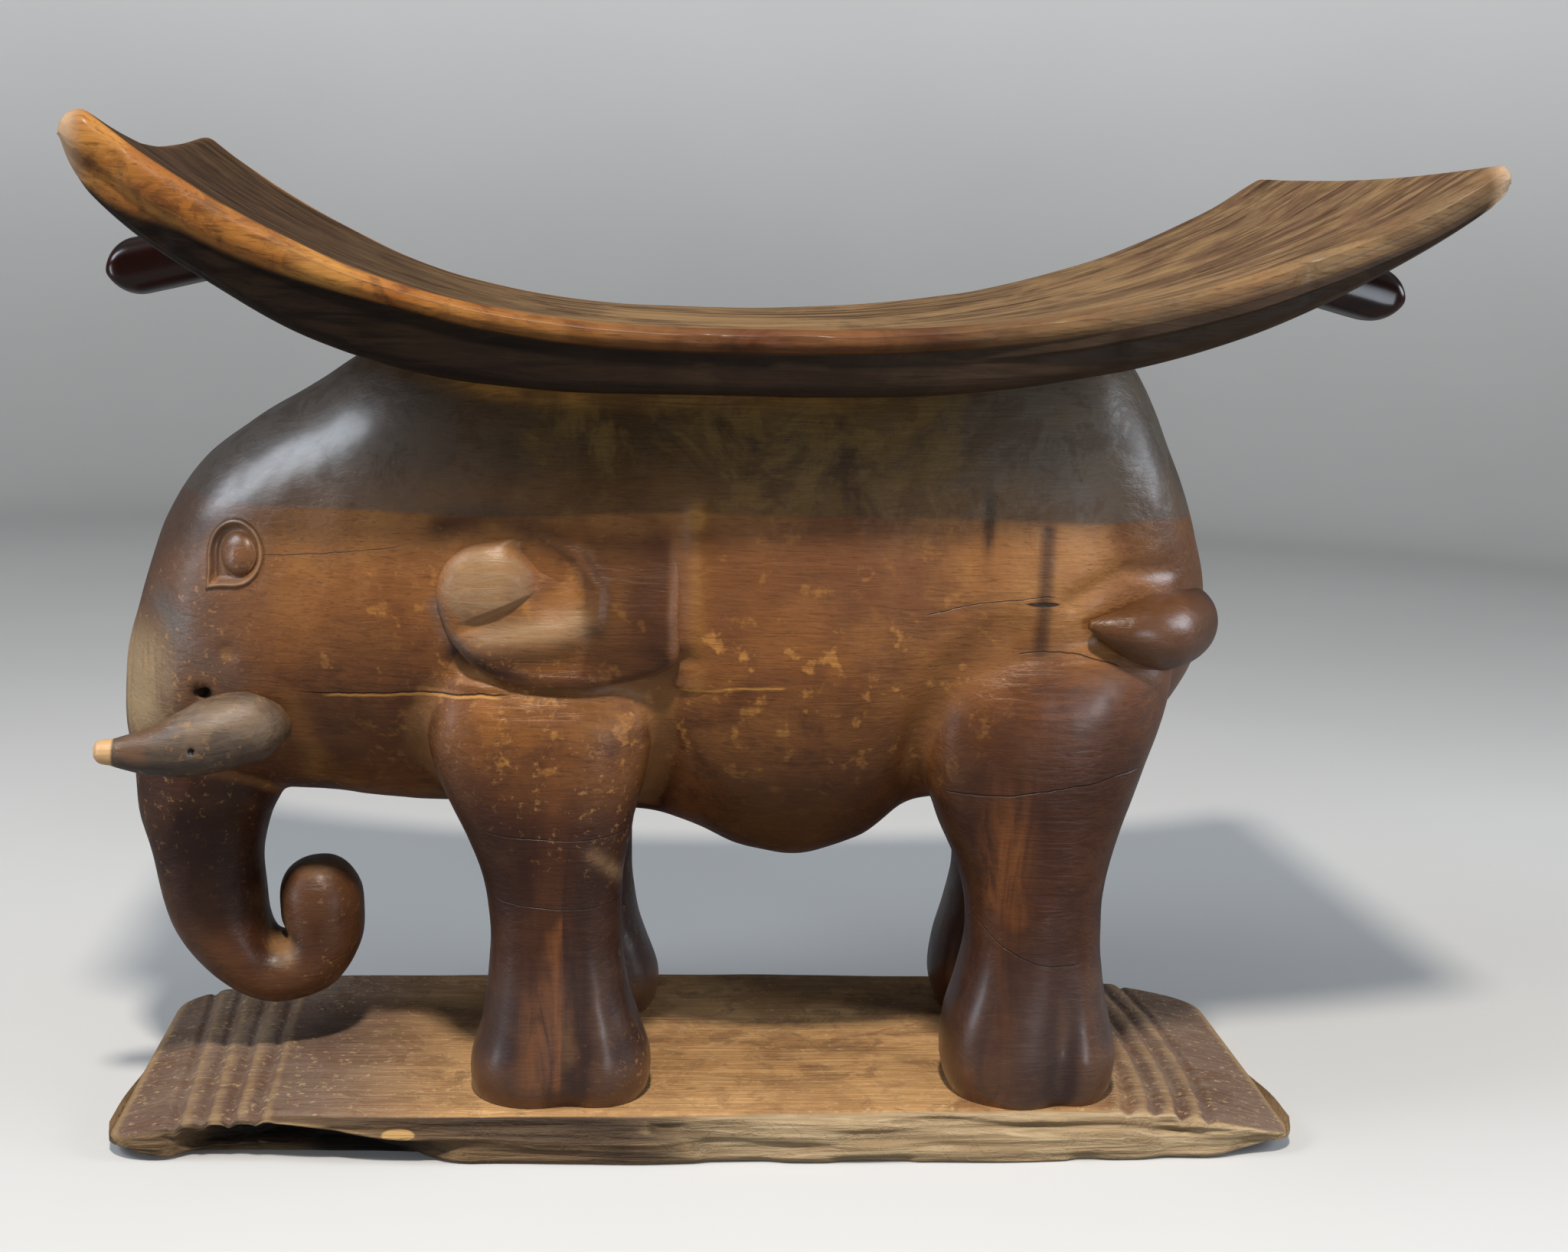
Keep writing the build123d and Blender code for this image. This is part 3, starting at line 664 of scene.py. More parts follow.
# %% Distance of the side from the middle plane
def flank_map(hand, low, high, pitch=3.0):
    """A map over the rectangle low..high in the side view. A knot is the mean of the carving's points near it,
    weighted by exp(-(d / 2.6 mm)^2); between knots the map is linear both ways. The hand-cut waves go on top."""
    near = plain_points[plain_points[:, 1] * hand > 20]
    inside = np.all((near[:, [0, 2]] > low - 8) & (near[:, [0, 2]] < high + 8), axis=1)
    near = near[inside]
    steps = np.ceil((high - low) / pitch).astype(int) + 1
    x, z = np.meshgrid(low[0] + pitch * np.arange(steps[0]), low[1] + pitch * np.arange(steps[1]), indexing="ij")
    weight = bump(np.hypot(near[:, 0] - x[..., None], near[:, 2] - z[..., None]), 2.6) + 1e-12
    knots = (weight * np.abs(near[:, 1])).sum(-1) / weight.sum(-1)

    def side_at(x, z):
        """The map's distance at a place."""
        u = np.clip((x - low[0]) / pitch, 0, steps[0] - 1.001)
        v = np.clip((z - low[1]) / pitch, 0, steps[1] - 1.001)
        i, j = u.astype(int), v.astype(int)
        u, v = u - i, v - j
        found = (knots[i, j] * (1 - u) * (1 - v) + knots[i + 1, j] * u * (1 - v)
                 + knots[i, j + 1] * (1 - u) * v + knots[i + 1, j + 1] * u * v)
        return found + hand_cut(np.stack([x, hand * found, z], -1))
    return side_at


def coin(name, hand, x, z, front, back):
    """A closed plate from two sheets over the same places: rings run out over the front and back in behind it."""
    out = np.stack([x, hand * front, z], -1)
    inward = np.stack([x, hand * back, z], -1)[::-1]
    return skin(name, np.concatenate([out[1:], inward[:-1]]))


sample = flank_map(-1, np.array([-80.0, 250.0]), np.array([-70.0, 260.0]))
print("flank at the ear in mm:", sample(np.array([-75.0]), np.array([255.0])).round(1))

# %% [markdown]
# ## Ears
#
# Each ear is a thick leaf that fades into the flank above. Its front folds over into a round flap, a sharp valley
# runs under the flap, and below the valley the lobe swells out. A plate with a bevelled rim would miss the fold, so
# the ear is a sheet whose height is a sum of hills and valleys, laid over the flank's map.

# %% Two ears from one height
def over_valley(x, z):
    """Distance above the valley under the flap, less than nought below it. The valley's line runs through x = -114,
    z = 254 and rises by 25 degrees towards the tail."""
    return (z - 254) * 0.907 - (x + 114) * 0.421


def ear_height(x, z, edge):
    """Height over the flank in millimetres; edge is the distance to the ear's outline. The plate, the flap's dome and
    the lobe's hill are joined by the soft maximum log(sum(exp(h))). A cup and a low ridge wind round behind them."""
    across = over_valley(x, z)
    plate = 5.6 - 5.4 * ease(z, 256, 293) * ease(x, -112, -84)
    u = np.hypot((x + 108.5) / 25, (z - 270) / 24)
    flap = 9.2 * (1 - np.clip(u, 0, 1) ** 3.2) * ease(across, -0.4, 3.2)
    lobe = 9.4 * stroke(x, z, [(-113, 241), (-98, 242.5), (-80, 247), (-64, 253)], 15)
    lobe = lobe * (1 - ease(across, -3.0, 0.4) * fade(x, -90, -78)) * fade(x, -72, -50)
    cup = 2.0 * stroke(x, z, [(-80, 264), (-75, 276), (-88, 289)], 7)
    outer = 1.7 * stroke(x, z, [(-104, 299), (-84, 296), (-68, 286), (-59, 272), (-60, 256)], 4.0)
    height = np.log(np.exp(plate) + np.exp(flap) + np.exp(lobe)) - 0.35 - cup + outer
    return height * quarter_round(edge / 6.5)


def make_ear(name, hand):
    """Rings run from the ear's middle out to its outline and are laid on the flank."""
    outline = round_loop([
        (-131, 262), (-131, 272), (-126.5, 282), (-117.5, 289), (-106, 292), (-93, 294.5), (-76, 298), (-56, 300),
        (-38, 300), (-25, 297.5), (-22.5, 280), (-22, 256), (-22.5, 238.5), (-35, 230.5), (-55, 226.5),
        (-78, 225.5), (-100, 228), (-115, 234), (-125, 246)], 280)
    middle = np.array([-76.0, 261.0])
    reach = np.linspace(0, 1, 110)[:, None, None] ** 0.85
    grid = middle + reach * (outline - middle)
    x, z = grid[..., 0], grid[..., 1]
    edge = (1 - reach[..., 0]) * np.linalg.norm(outline - middle, axis=1)[None]
    side = flank_map(hand, grid.min((0, 1)), grid.max((0, 1)))(x, z)
    front = side - 0.8 + ear_height(x, z, edge)
    return coin(name, hand, x, z, front, side - 10)


ears = {name: make_ear("carved_" + name, hand) for name, hand in (("left_ear", -1), ("right_ear", 1))}
print("ears reach", [round(float(np.abs(places(piece)[:, 1]).max()), 1) for piece in ears.values()], "mm out")

# %% [markdown]
# ## Eyes
#
# An eye is a ball in a hollow, ringed by a rim that runs to a point at its lower front corner. It is a coin again,
# dense enough for a rim that is only three millimetres wide.

# %% Eyes: rim, hollow and ball
def make_eye(name, hand):
    """Over the eye's own radius q (1 on the rim): a ring hill on the crest, whose foot sinks into the face outside, a
    hollow inside it, and in that the ball e^0.9, e being the half ellipsoid sqrt(1 - (x/a)^2 - (z/b)^2)."""
    q = np.linspace(0, 1.45, 110)[:, None]
    turn = eye_corner + full_turn(180)[None]
    grow = corner_growth(turn)
    dx, dz = eye_long * q * grow * np.cos(turn), eye_tall * q * grow * np.sin(turn)
    x, z = eye_x + dx, eye_z + dz
    corner_low, corner_high = np.array([x.min(), z.min()]), np.array([x.max(), z.max()])
    side = flank_map(hand, corner_low, corner_high)(x, z)
    ball = np.sqrt(np.clip(1 - ((dx - 1.5) / ball_long) ** 2 - ((dz + 0.4) / ball_tall) ** 2, 0, 1))
    rim = 1.2 * bump(q - lid_crest, 0.09) - 3.0 * ease(q, 1.06, 1.32) + 0.3
    hollow = 2.4 * fade(q, lid_inside, 1.0)
    return coin(name, hand, x, z, side + rim - hollow + 5.2 * ball ** 0.9, side - 9)


eyes = {name: make_eye("carved_" + name, hand) for name, hand in (("left_eye", -1), ("right_eye", 1))}
print("eyes:", [len(piece.data.polygons) for piece in eyes.values()], "faces")

# %% [markdown]
# ## Tusks and tail
#
# Both are round forms along a bent line. A ring is set square to the line at every step: its own axes are the line's
# direction crossed with the vertical, and that crossed with the direction again.

# %% Round forms along a line
def horn(name, rows, count, around, hand=-1):
    """rows hold x, distance from the middle plane, height and radius; the radius may shrink to nothing at the ends."""
    x, y, z, radius = flow(rows, count).T
    middle = np.stack([x, hand * y, z], -1)
    way = np.gradient(middle, axis=0)
    way /= np.linalg.norm(way, axis=1)[:, None]
    level = np.cross(way, [0, 0, 1.0])
    level /= np.linalg.norm(level, axis=1)[:, None]
    rise = np.cross(level, way)
    return skin(name, oval_ring(middle, level, rise, radius, radius, 2.0, around))


tusk_rows = [
    (-203.5, 50, 199.5, 4), (-205.5, 52.5, 200, 9), (-211, 56.5, 200.4, 14.6), (-220, 61.5, 199.4, 17.4),
    (-232, 66.5, 196.6, 17.4), (-243, 70.5, 193.2, 15.8), (-254, 73.8, 190.8, 13.0), (-265, 76.2, 189.8, 9.9),
    (-273, 77.6, 189.9, 7.5), (-278, 78.4, 190.2, 6.0), (-281.5, 78.9, 190.4, 5.5), (-284, 79.3, 190.5, 4.4),
    (-285.4, 79.6, 190.5, 2.2)]
tail_rows = [
    (rump_x - 12, 4, 254, 12), (rump_x - 15, 26, 254, 15.5), (rump_x - 19, 46, 254, 17.6), (rump_x - 27, 63, 254, 18.8),
    (rump_x - 37, 77, 254.4, 18.6), (rump_x - 47, 86, 255.4, 15.5), (rump_x - 58, 91.5, 256.8, 10.5),
    (rump_x - 68, 94, 258.4, 5.6), (rump_x - 74.5, 94.6, 259.4, 2)]
tusk_pin = (-241.0, 192.3)                    # a small bore in the side of the left tusk
tusks = {}
for name, hand in (("left_tusk", -1), ("right_tusk", 1)):
    tusks[name] = horn("carved_" + name, tusk_rows, count=150, around=72, hand=hand)
    points, out = places(tusks[name]), normals(tusks[name])
    points += out * hand_cut(points, 0.35)[:, None]
    if hand < 0:
        pin = bump(np.hypot(points[:, 0] - tusk_pin[0], points[:, 2] - tusk_pin[1]), 1.5)
        points -= out * (3.0 * pin * ease(-points[:, 1], 70, 76))[:, None]
    put(tusks[name], points)
tail = horn("carved_tail", tail_rows, count=140, around=72)
carve_by_hand(tail, 0.5)
print("tusk tip at x", round(float(places(tusks["left_tusk"])[:, 0].min()), 1), "mm")

# %% [markdown]
# ## The seat
#
# The seat is a slab bent upwards at both ends and dished across. Its long sides have a rolled lip, polished by hands,
# and are cut back below it. One closed profile holds all of that. It is written once as inset from the side and depth
# below the rim, and it is carried along the sweep of the seat while its lip, thickness and place change.

# %% Seat slab with its rolled lips
seat_half = (seat_high[1] - seat_low[1]) / 2
tail_slant = 11.0                 # the tail's end stands further out on the elephant's left side


def seat_shares(x, end):
    """How far towards the head's end and the tail's end a place lies, each 0 at the lowest place and 1 at its end."""
    return (np.clip((low_x - x) / (low_x - head_end), 0, 1), np.clip((x - low_x) / (end - low_x), 0, 1))


def rim_height(to_head, to_tail):
    """The rolled edge rises by powers 2.5 of the way to each end, and is rounded over at the two tips."""
    return 391.0 + 90.0 * to_head ** 2.5 + 78.0 * to_tail ** 2.5 - 5.0 * ease(to_head, 0.95, 1.0) \
        + 3.0 * ease(to_tail, 0.88, 1.0)


def lip_depth(to_head, to_tail):
    """The lip's height in millimetres: thin in the middle, twice as high towards the head's end."""
    return 9.5 + 11 * ease(to_head, 0.45, 0.9) + 2 * ease(to_tail, 0.5, 1)


def nose(x, start, end, reach_start, reach_end):
    """A quarter-round at both ends, 0 at the end and 1 at its reach from there."""
    return quarter_round(np.minimum((x - start) / reach_start, (end - x) / reach_end))


def mirrored(rows, count):
    """A ring from half a profile and its mirror image: each column of rows, and -1 on the left half, 1 on the right."""
    half = flow(rows, count)[1:-1]
    hand = np.concatenate([-np.ones(len(half)), np.ones(len(half))])[None]
    return (*np.concatenate([half, half[::-1]]).T[:, None], hand)


def make_seat():
    """Half the profile runs from the middle of the top over the lip and the side to the middle of the underside."""
    rows = [
        # inset from the side, depth in lips, depth in slab thicknesses, share of the dish
        (148, 0, 0, 1.00), (120, 0, 0, 0.97), (80, 0, 0, 0.72), (45, 0, 0, 0.42), (22, 0, 0, 0.17),
        (11, 0, 0, 0.05), (5.5, 0.02, 0, 0), (2.2, 0.14, 0, 0), (0.5, 0.34, 0, 0), (0.2, 0.58, 0, 0),
        (1.2, 0.80, 0, 0), (3.2, 0.95, 0, 0), (5.2, 1.08, 0, 0), (6.0, 1.0, 0.12, 0), (7.0, 0.6, 0.45, 0),
        (8.2, 0.3, 0.72, 0), (10.5, 0, 0.93, 0), (15, 0, 0.99, 0), (25, 0, 1, 0), (60, 0, 1, 0), (148, 0, 1, 0)]
    inset, in_lips, in_slabs, dish, hand = mirrored(rows, 156)
    across = hand * (seat_half - inset)
    end = tail_end - tail_slant * across / seat_half
    share = np.linspace(0, 1, 270)[:, None]
    place = 0.55 * (1 - np.cos(np.pi * share)) / 2 + 0.45 * share
    x = head_end + (end - head_end) * place
    to_head, to_tail = seat_shares(x, end)
    rim = rim_height(to_head, to_tail)
    under = underside(to_head, to_tail) - 7 * ease(to_head, 0.75, 1.0)
    thick = rim - under
    lip = np.minimum(lip_depth(to_head, to_tail), 0.68 * thick)
    depth = np.minimum(in_lips * lip + in_slabs * thick, thick)
    z = rim - depth - dish * (6 + 4 * ease(to_head, 0.6, 1) - 2.5 * ease(to_tail, 0.6, 1))
    # both ends close like a nose in height, and a little in width
    closing = nose(x, head_end, end, 11, 6)
    middle = (rim + under) / 2 - 1.5 * (1 - closing)
    z = middle + (z - middle) * closing
    narrow = 6 * (1 - nose(x, head_end, end, 16, 14))
    # the groove under the lip runs out towards the tail's end, where the side is one flat face
    groove = np.where(in_lips * (1 - in_slabs) > 0.6, np.clip(inset - 0.4, 0, 6.5), 0) * ease(to_tail, 0.25, 0.6)
    y = across + hand * 0.8 * groove * (inset < 20) - hand * narrow * np.clip(1 - inset / 60, 0, 1)
    return np.stack([x, y, z], -1), in_lips + 0 * x, in_slabs + 0 * x


rings, in_lips, in_slabs = make_seat()
loose = ease(-np.abs(rings[..., 0] - 20), -298, -262)        # quiet at the two tips
sway = 0.8 * lumps(rings, (70, 50, 60), 11) + 0.35 * lumps(rings, (24, 16, 20), 12)
worn = 0.25 * lumps(rings, (60, 5, 20), 13) + 0.12 * lumps(rings, (30, 2.4, 12), 14)
on_top = fade(in_lips + 3 * in_slabs, 0.0, 0.15)
rings[..., 2] += (sway + worn * on_top) * loose
nicks = lumps(rings, (16, 30, 30), 15)
rings[..., 1] -= np.sign(rings[..., 1]) * 1.6 * ease(nicks, 0.35, 0.9) * bump(in_lips - 0.6, 0.5) * loose
seat = skin("carved_seat", rings, welded_ends=True)
print("seat:", len(seat.data.polygons), "faces, box", places(seat).min(0).round(1), places(seat).max(0).round(1))

# %% [markdown]
# ## Lugs under the seat's ends
#
# A tongue with a round nose points out and a little down from under each end. It is a short loft: the section is a
# rounded bar, and towards the nose it closes like half a coin.

# %% Two lugs
def make_lug(name, nose_x, nose_z, toward, length=60.0, half_thick=13.5, half_wide=22.0, tilt=14.0):
    """Sections at the distance d from the nose: half the thickness t sqrt(1 - (1 - d / t)^2), rounded corners."""
    d = length * (1 - np.cos(np.linspace(0, np.pi, 90))) / 2
    closing, sides = quarter_round(d / half_thick), quarter_round(d / 7)
    lean = math.radians(tilt)
    middle = np.stack([nose_x - toward * d * math.cos(lean), 0 * d, nose_z + d * math.sin(lean)], -1)
    across = np.tile([0, 1.0, 0], (len(d), 1))
    rise = np.tile([toward * math.sin(lean), 0, math.cos(lean)], (len(d), 1))
    rings = oval_ring(middle, across, rise, half_wide - 5 + 5 * sides, half_thick * np.maximum(closing, 0.02), 3.0, 96)
    piece = skin(name, rings)
    carve_by_hand(piece, 0.4)
    return piece


lugs = {"head_end_lug": make_lug("carved_head_end_lug", -288.5, 404, -1),
        "tail_end_lug": make_lug("carved_tail_end_lug", 329.5, 408, 1)}
print("lugs:", [places(piece)[:, 0].round(0).min() for piece in lugs.values()])

# %% [markdown]
# ## The base
#
# The base took the most knocks. Its top is level in the middle and slopes down at the ends, with four scored lines
# across each slope. The long sides are riven: they follow the fibres, and on the elephant's left the lower edge has
# rotted away near the head and flares out into splinters near the tail. Bump in a material can't open such a hollow,
# so it is in the mesh.

# %% Base slab with scored ends and riven sides
base_half = base_high[0]
base_mid = base_high[1]
level = 194.0                                 # half the length of the level part
# the distances of the scored lines from the middle, at the head's end (-1) and at the tail's (1)
line_places = {-1: level + 18.0 + 12.5 * np.arange(4), 1: level + 12.0 + 13.0 * np.arange(4)}


def base_top_height(x, y):
    """Level, then down by the power 1.64 of the way to the end; each scored line is a narrow valley."""
    out = np.clip((np.abs(x) - level) / (base_half - level), 0, 1)
    height = base_top - 14 * out ** 1.64
    return height - 1.7 * scored(x, y, 1.8) + 0.6 * scored(x + 5 * np.sign(x), y, 3.0)


def base_reach(x):
    """Half the base's width: the long sides bow inwards by 7 mm towards the ends."""
    return base_mid - 7 * (x / base_half) ** 2


def scored(x, y, width):
    """1 on the scored lines, four across each end. At the tail they are bent like a bow; at the head they fan out
    towards the right side."""
    bow = np.abs(x) + 9.0 * (y / base_mid) ** 2
    total = sum(bump(bow - line, width) * (x > 0) for line in line_places[1])
    for number, line in enumerate(line_places[-1]):
        total = total + bump(-x - line - (0.037 + 0.012 * number) * (y + base_mid), width) * (x < 0)
    return total


def make_base():
    """Half the section: from the middle of the top over the side to the middle of the underside."""
    rows = [(103, 0), (70, 0), (40, 0), (18, 0), (8, 0), (3.5, 0.02), (1.2, 0.10), (0.4, 0.25), (0, 0.45),
            (0, 0.65), (0.3, 0.84), (1.5, 0.96), (4.5, 1), (12, 1), (40, 1), (103, 1)]
    inset, down_share, hand = mirrored(rows, 146)
    share = np.linspace(0, 1, 330)[:, None]
    place = 0.25 * (1 - np.cos(np.pi * share)) / 2 + 0.75 * share
    x = -base_half + 2 * base_half * place + 0 * inset
    corner, edge = 20.0, 5.0                  # how far from its end the base's corners and its end's edges are round
    reach = base_reach(x) - 18 * (1 - nose(x, -base_half, base_half, corner, corner))
    y = hand * (reach - inset * reach / base_mid)
    z = base_top_height(x, y) * (1 - down_share)
    z = edge + (z - edge) * nose(x, -base_half, base_half, edge, edge)
    return x, y, z, inset + 0 * x, down_share + 0 * x, hand + 0 * x


x, y, z, inset, down_share, hand = make_base()
plain = np.stack([x, y, z], -1)
fibre = lumps(plain, (110, 60, 6.5), 21) + 0.55 * lumps(plain, (38, 20, 2.8), 22)
wander = lumps(plain, (34, 60, 60), 26)
chips = lumps(plain, (22, 12, 9), 23)
on_side = ease(18 - inset, 0, 12)
left = hand < 0
riven = np.where(left, 1.9, 0.8) * fibre + np.where(left, 2.6, 1.0) * ease(chips, 0.1, 0.8)
inward = riven * on_side * ease(down_share, 0.0, 0.25)
# the edge itself wanders, more on the left
inward += np.where(left, 1.0, 0.5) * np.clip(1.0 + 1.6 * wander, 0, 3) * on_side
# near the head the side has rotted away under a thin ledge; a low step is left at the bottom towards the head
hollow_depth = 27.0
ledge = 0.12 + 0.34 * ease(x, -215, -135)
step = 0.45 * ease(down_share, 0.66, 0.84) * fade(x, -205, -180)
low_part = ease(down_share, ledge, ledge + 0.2) * (1 - step)
hollow = ease(x, -262, -212) * fade(x, -178, -112) * (0.88 + 0.3 * chips) * left
inward += on_side * low_part * hollow_depth * np.clip(hollow, 0, 1)
# near the tail the lower edge stands out in splinters
flare = ease(x, -60, 60) * fade(x, 215, 262) * left
inward += on_side * fade(down_share, 0.25, 0.8) * flare * (4.2 + 2.0 * fibre)
y = y - hand * inward
# the top sags, its left edge is chipped, the hollow opens downwards, and the ends have worn round underneath
sag = 0.5 * lumps(plain, (90, 60, 30), 24) + 0.25 * lumps(plain, (30, 9, 9), 25)
z = z + sag * fade(down_share, 0.3, 0.9) * ease(270 - np.abs(x), 0, 20)
z = z - 1.6 * ease(chips, 0.2, 0.8) * bump(inset - 3, 5) * fade(down_share, 0.1, 0.4) * left
z = z + 4.5 * np.clip(hollow, 0, 1) * on_side * ease(down_share, 0.8, 1.0)
worn_ends = 7 * ease(-x, 245, 283) + 8 * ease(x, 232, 283)
z = z + worn_ends * ease(down_share, 0.4, 0.9) * ease(-y, -20, 60)
z = np.maximum(z, 0.0)
base = skin("carved_base", np.stack([x, y, z], -1), welded_ends=True)
print("base:", len(base.data.polygons), "faces, box", places(base).min(0).round(1), places(base).max(0).round(1))

# %% [markdown]
# ## Places with a look of their own
#
# Hands have rubbed the ears' folds pale, lost patina shows ochre in the hollows, and trunk, belly and hind legs are
# thick with dark wax. Painted shade darkens the belly, the trunk and the ear's folds, painted light brightens the notch
# in the trunk's bend, and a painted cool sheen lies on the face's front and the ear's edges. A painter would mask these
# places. Here each is a soft hill round a point or a line in the side view, stored on the points, so that the finish
# can read it on every member.

# %% Pale, ochre and dark places
def wear_places(points):
    """How pale, ochre, dark (wax, and painted shade), painted with cool sheen and polished each point of the elephant
    is, from 0 to 1.
    """
    x, y, z = points.T
    side = ease(np.abs(y), 12, 32)
    above = over_valley(x, z)
    # pale: the ear's two lobes, the eye's rim, painted light in the notch at the trunk's bend, the trunk's tip, and a
    # scrape on the left front leg
    flap = fade(np.hypot((x + 108) / 23, (z - 271) / 21.5), 0.72, 1.0) * ease(above, -1, 1.5)
    lobe = stroke(x, z, [(-110, 249), (-96, 250), (-82, 253), (-69, 256)], 7.5)
    lobe = lobe * (1 - ease(above, -1.5, 0.5) * fade(x, -90, -80))
    lit_notch = stroke(x, z, [(-218, 102), (-213, 84), (-208, 74)], 5.5)
    curl_tip = ease(z, 110, 118) * (z < 130) * bump(x + 198, 17)
    shin = 0.8 * stroke(x, z, [(-59, 147), (-45, 133)], 3.5) * (y < 0)
    lid = 0.7 * bump(lid_radius(x, z) - lid_crest, 0.07)
    pale = np.maximum.reduce([side * flap, side * lobe, side * lid, 0.8 * lit_notch, 0.7 * curl_tip]) + shin

    # ochre: hollows and seams where the dark patina has gone
    recess = stroke(x, z, [(-119, 229), (-98, 220.5), (-60, 217.5), (-28, 223)], 4.5)
    band = stroke(x, z, [(-13.5, 222), (-14.5, 306)], 4.2)
    shoulder = stroke(x, z, [(-62, 207), (-36, 212)], 6) + bump(np.hypot(x + 25, z - 216), 6)
    cheek = 0.24 * stroke(x, z, [(-200, 214), (-196, 198), (-188, 184)], 6)
    jaw = 0.35 * stroke(x, z, [(-192, 176), (-160, 164), (-136, 160)], 8)
    seat_seam = ease(z - under_height(x), -15, -4) * ease(x, -185, -150) * fade(x, 0, 80) * (z > 300)
    ochre = side * (0.4 * recess + band + 0.8 * shoulder + cheek + jaw) + 0.8 * seat_seam

    # dark: thick wax on trunk, legs and belly, with painted shade on the belly and the trunk; painted shade in the
    # ear's cup, on its lower roll and under its lobe; darker wood on the ear's back plate and round the throat; and two
    # smears beside the tail
    shell = stroke(x, z, [(-130, 298), (-106, 303), (-84, 297), (-67, 284), (-60, 268), (-63, 254)], 6.5)
    smear = stroke(x, z, [(144.5, 302), (144.5, 246)], 3.2) + bump(x - 117, 2.5) * bump(z - 305, 14)
    trunk = ease(-x, 160, 185) * fade(z, 150, 205)
    belly_wax_and_shade = fade(z, 138, 232) * ease(x, -20, 10) * fade(x, 75, 110)
    hind = fade(z, 175, 250) * ease(x, 90, 110)
    shade_under_ear_roll = stroke(x, z, [(-123, 240), (-104, 231.5), (-76, 228.5), (-45, 230), (-26, 236)], 5)
    shade_under_lobe = stroke(x, z, [(-116, 243), (-98, 239), (-70, 238), (-36, 241)], 6)
    plate = ease(x, -68, -60) * fade(x, -29, -24) * ease(z, 226, 233) * fade(z, 292, 299)
    throat = bump(np.hypot((x + 165) / 34, (z - 205) / 32), 1.0)
    front = 0.75 * fade(z, 150, 205) + 0.25 * fade(z, 208, 220)
    front = front * ease(x, -150, -130) * fade(x, -30, -15)
    dark = side * (0.8 * shell + 0.9 * shade_under_ear_roll + 0.5 * shade_under_lobe + 0.75 * plate + 0.7 * throat)
    dark = dark + trunk + 1.1 * belly_wax_and_shade + hind + front + 1.5 * smear * (y < 0)

    # painted cool sheen, the reflection of the side lights, on the face's front, the flap's left rim and the ear's rear
    # edge; polish: brow, feet, haunch and rump
    painted_sheen = side * (stroke(x, z, [(-258, 254), (-243, 237), (-226, 219)], 8)
                   + stroke(x, z, [(-131, 262), (-127, 249), (-116, 239)], 3.5)
                   + 0.8 * stroke(x, z, [(-24.5, 244), (-25, 290)], 2.0))
    polish = stroke(x, z, [(-240, 296), (-205, 326), (-165, 350)], 22)
    polish = polish + fade(z, 60, 120) * ease(z, 20, 26) * (x > -125)
    polish = polish + 0.6 * bump(np.hypot(x - 165, z - 225), 28) + 0.5 * ease(x, 175, 200)
    return pale, ochre, dark, painted_sheen, polish


pieces = {**members, **ears, **eyes, **tusks, **lugs, "tail": tail, "seat": seat, "base_plinth": base}
for name, piece in pieces.items():
    if name not in members:
        read_relief(piece)
    if name in ("seat", "base_plinth") or name.endswith("lug"):
        continue
    for title, values in zip(("pale", "ochre", "dark", "painted_sheen", "polish"), wear_places(places(piece))):
        if name == "tail" and title == "dark":
            values = np.full(len(values), 0.95)
        mark(piece, title, np.clip(values, 0, 1))
print("marked", len(pieces), "pieces")

# %% [markdown]
# ## Building materials from parts
#
# Old waxed wood is several things at once: fibres, blotches of thick and thin patina, dust, rubbed edges and drying
# cracks. Each is a node group, made once, and every material places the ones it needs with its own values. The groups
# only put out masks, so the wood's colours stay where they can be seen, in the material.

# %% Small helpers for nodes
def feed(socket, value):
    """Links an input to a socket, or writes a value into it."""
    if isinstance(value, bpy.types.NodeSocket):
        socket.id_data.links.new(value, socket)
    else:
        socket.default_value = value


def tree_of(values):
    """The tree that the first socket among some values stands in."""
    return next(value.id_data for value in values if isinstance(value, bpy.types.NodeSocket))


def node(tree, kind, settings=None, **inputs):
    """A shader node with its settings and inputs."""
    made = tree.nodes.new("ShaderNode" + kind)
    for key, value in (settings or {}).items():
        setattr(made, key, value)
    for key, value in inputs.items():
        feed(made.inputs[key], value)
    return made


def noise(settings=None, **inputs):
    """Smooth noise, from 0 to 1."""
    return node(tree_of(inputs.values()), "TexNoise", settings, **inputs).outputs["Fac"]


def axes_of(place):
    """The three numbers of a place."""
    return node(place.id_data, "SeparateXYZ", Vector=place).outputs


def sums(operation, *values, clamp=False):
    """One arithmetic node, and its result."""
    made = node(tree_of(values), "Math", {"operation": operation, "use_clamp": clamp})
    for socket, value in zip(made.inputs, values):
        feed(socket, value)
    return made.outputs[0]


def times(*factors):
    """The product of numbers and sockets."""
    product = factors[0]
    for factor in factors[1:]:
        product = sums("MULTIPLY", product, factor)
    return product


def greatest(shares):
    """The greatest of some shares."""
    most = shares[0]
    for share in shares[1:]:
        most = sums("MAXIMUM", most, share)
    return most


def window(value, low, high, start=0.0, end=1.0):
    """Spreads low..high over start..end with soft ends."""
    made = node(value.id_data, "MapRange", {"interpolation_type": "SMOOTHSTEP"})
    for socket, number in zip(made.inputs, (value, low, high, start, end)):
        feed(socket, number)
    return made.outputs[0]


def mix(share, a, b):
    """Colour a turned into colour b by a share."""
    made = node(share.id_data, "Mix", {"data_type": "RGBA", "clamp_factor": True})
    for number, value in ((0, share), (6, a), (7, b)):
        feed(made.inputs[number], value)
    return made.outputs[2]


def over(colour, *layers):
    """Lays paint after paint over a colour; a layer is its share and its paint."""
    for share, paint in layers:
        colour = mix(share, colour, paint)
    return colour


def tint(red, green, blue):
    """A colour as it looks on a screen, 0 to 255, as the linear values that a shader works with."""
    return tuple(((value / 255 + 0.055) / 1.055) ** 2.4 if value > 10 else value / 3294.6
                 for value in (red, green, blue)) + (1.0,)


